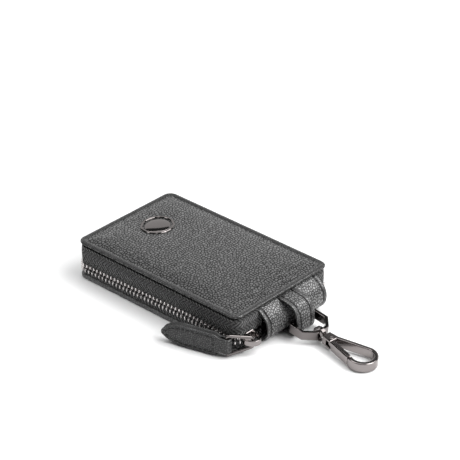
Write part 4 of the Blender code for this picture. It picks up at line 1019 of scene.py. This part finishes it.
def tab_edges(u):
    """Lowest and highest z of the tab at distances from the loop's bar: a narrow neck, a slanting
    shoulder, a straight body, and a point whose width falls as a power of a circle's."""
    tip = np.clip((u - (tab_length - tab_point)) / tab_point, 0, 1)
    body = 6.0 * mm * (1 - tip ** 2) ** 0.62
    wide = eased(u, 3.6 * mm, 3.0 * mm)
    low = 2.9 * mm * (1 - wide) + (tab_middle - body) * wide
    high = 11.1 * mm * (1 - wide) + (tab_middle + body) * wide
    return low, high


def on_tab(along, out, height):
    """Points at distances along the tab and out of its middle plane, at a height."""
    flat = loop_end + np.multiply.outer(along, tab_along) + np.multiply.outer(out, tab_out)
    return raised(flat, height)


point_u = tab_length - (tab_length - 20 * mm) * np.linspace(0, 1, 34) ** 1.6
front_u = np.concatenate([point_u, np.linspace(20, 2.2, 34)[1:] * mm])
front = np.stack([front_u, np.full(front_u.shape, leaf_mid)], -1)
fold = fold_mid * circle(np.radians(np.linspace(50, 310, 26)))
path = np.concatenate([front, fold, front[::-1] * [1, -1]])
ahead = unit(np.gradient(path, axis=0))
outwards = np.stack([ahead[:, 1], -ahead[:, 0]], -1)
low, high = tab_edges(path[:, 0])
gap = np.maximum(high - low, 0.02 * mm)
soft = np.minimum(0.5 * mm, gap / 3)
leaf_half = np.minimum(tab_leaf / 2, gap * 0.45)
face = [(step, 0.06 * step, rise) for step, rise in (
    (0, -0.55), (0, 0.1), (0.3, 0.75), (1, 1), (2, 1), (3, 0.8), (4, 0.84), (6, 1), (8, 1)
)]
back = [(0.3, 0.1, -0.9), (2, 0.1, -1)]
heights, lifts = [], []
for edge, way, part in ((low, 1, face), (high, -1, face[::-1]), (high, -1, back), (low, 1, back[::-1])):
    for step, most, rise in part:
        heights.append(edge + way * np.minimum(step * soft, most * gap))
        lifts.append(rise * leaf_half)
flat = path[:, None] + outwards[:, None] * np.stack(lifts, -1)[..., None]
tab_rows = on_tab(flat[..., 0], flat[..., 1], np.stack(heights, -1))
zones = np.zeros((1, len(heights)), int)
zones[:, [0, 1, *range(15, 22)]] = 1
tab = surface("pull_tab_leather", tab_rows, [tab_leather, edge_paint], zones=zones, sharp=50)
filler_u = np.linspace(3.4 * mm, tab_length - 0.3 * mm, 60)
low, high = tab_edges(filler_u)
inset = np.minimum(0.2 * mm, (high - low) * 0.3)
low, high = low + inset, high - inset
filler_out = 0.68 * mm * np.array([-1, -1, 1, 1])
filler_rows = on_tab(filler_u[:, None], filler_out, np.stack([low, high, high, low], -1))
filler = surface("pull_tab_filler", filler_rows, edge_paint, sharp=50)
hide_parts("puller_tab")
seam_u = np.linspace(7.0, 33.0, 70) * mm
low, high = tab_edges(seam_u)
margin = 1.7 * mm * np.sqrt(1 + np.gradient(low, seam_u) ** 2)
keep = (high - low) > 2.2 * margin
lower_seam = np.stack([seam_u, low + margin], -1)[keep]
upper_seam = np.stack([seam_u, high - margin], -1)[keep]
outline_seam = np.concatenate([lower_seam, upper_seam[::-1]])
cross_seam = np.linspace((6.6, 2.6), (6.6, 10.4), 12) * mm
for label, flat_line in (("round", outline_seam), ("across", cross_seam)):
    for face, way in (("front", 1), ("back", -1)):
        line = on_tab(flat_line[:, 0], way * 2.0 * mm, flat_line[:, 1])
        ups = np.tile(raised(way * tab_out, 0.0), (len(line), 1))
        seam = stitches("tab_stitches_%s_%s" % (label, face), line, ups, 2.7 * mm, 1.8 * mm, 0.36 * mm)
        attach(seam, "pull_tab")
for piece in (tab, filler):
    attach(piece, "pull_tab")

# ---- Key rail
# Inside the case, a plated rail is riveted to the floor beside the spine: four wire hooks for keys
# swing on a rod between its two ears.
rail_metal = metal("rail_metal", (0.5, 0.46, 0.45), 0.25)
replate(("key_plate", "key_plate_rivet_1", "key_plate_rivet_2", "key_rod"), rail_metal)
replate(("key_hook_1", "key_hook_2", "key_hook_3", "key_hook_4"), rail_metal)

# ---- The CAD model's bounds
low, high = cad_box
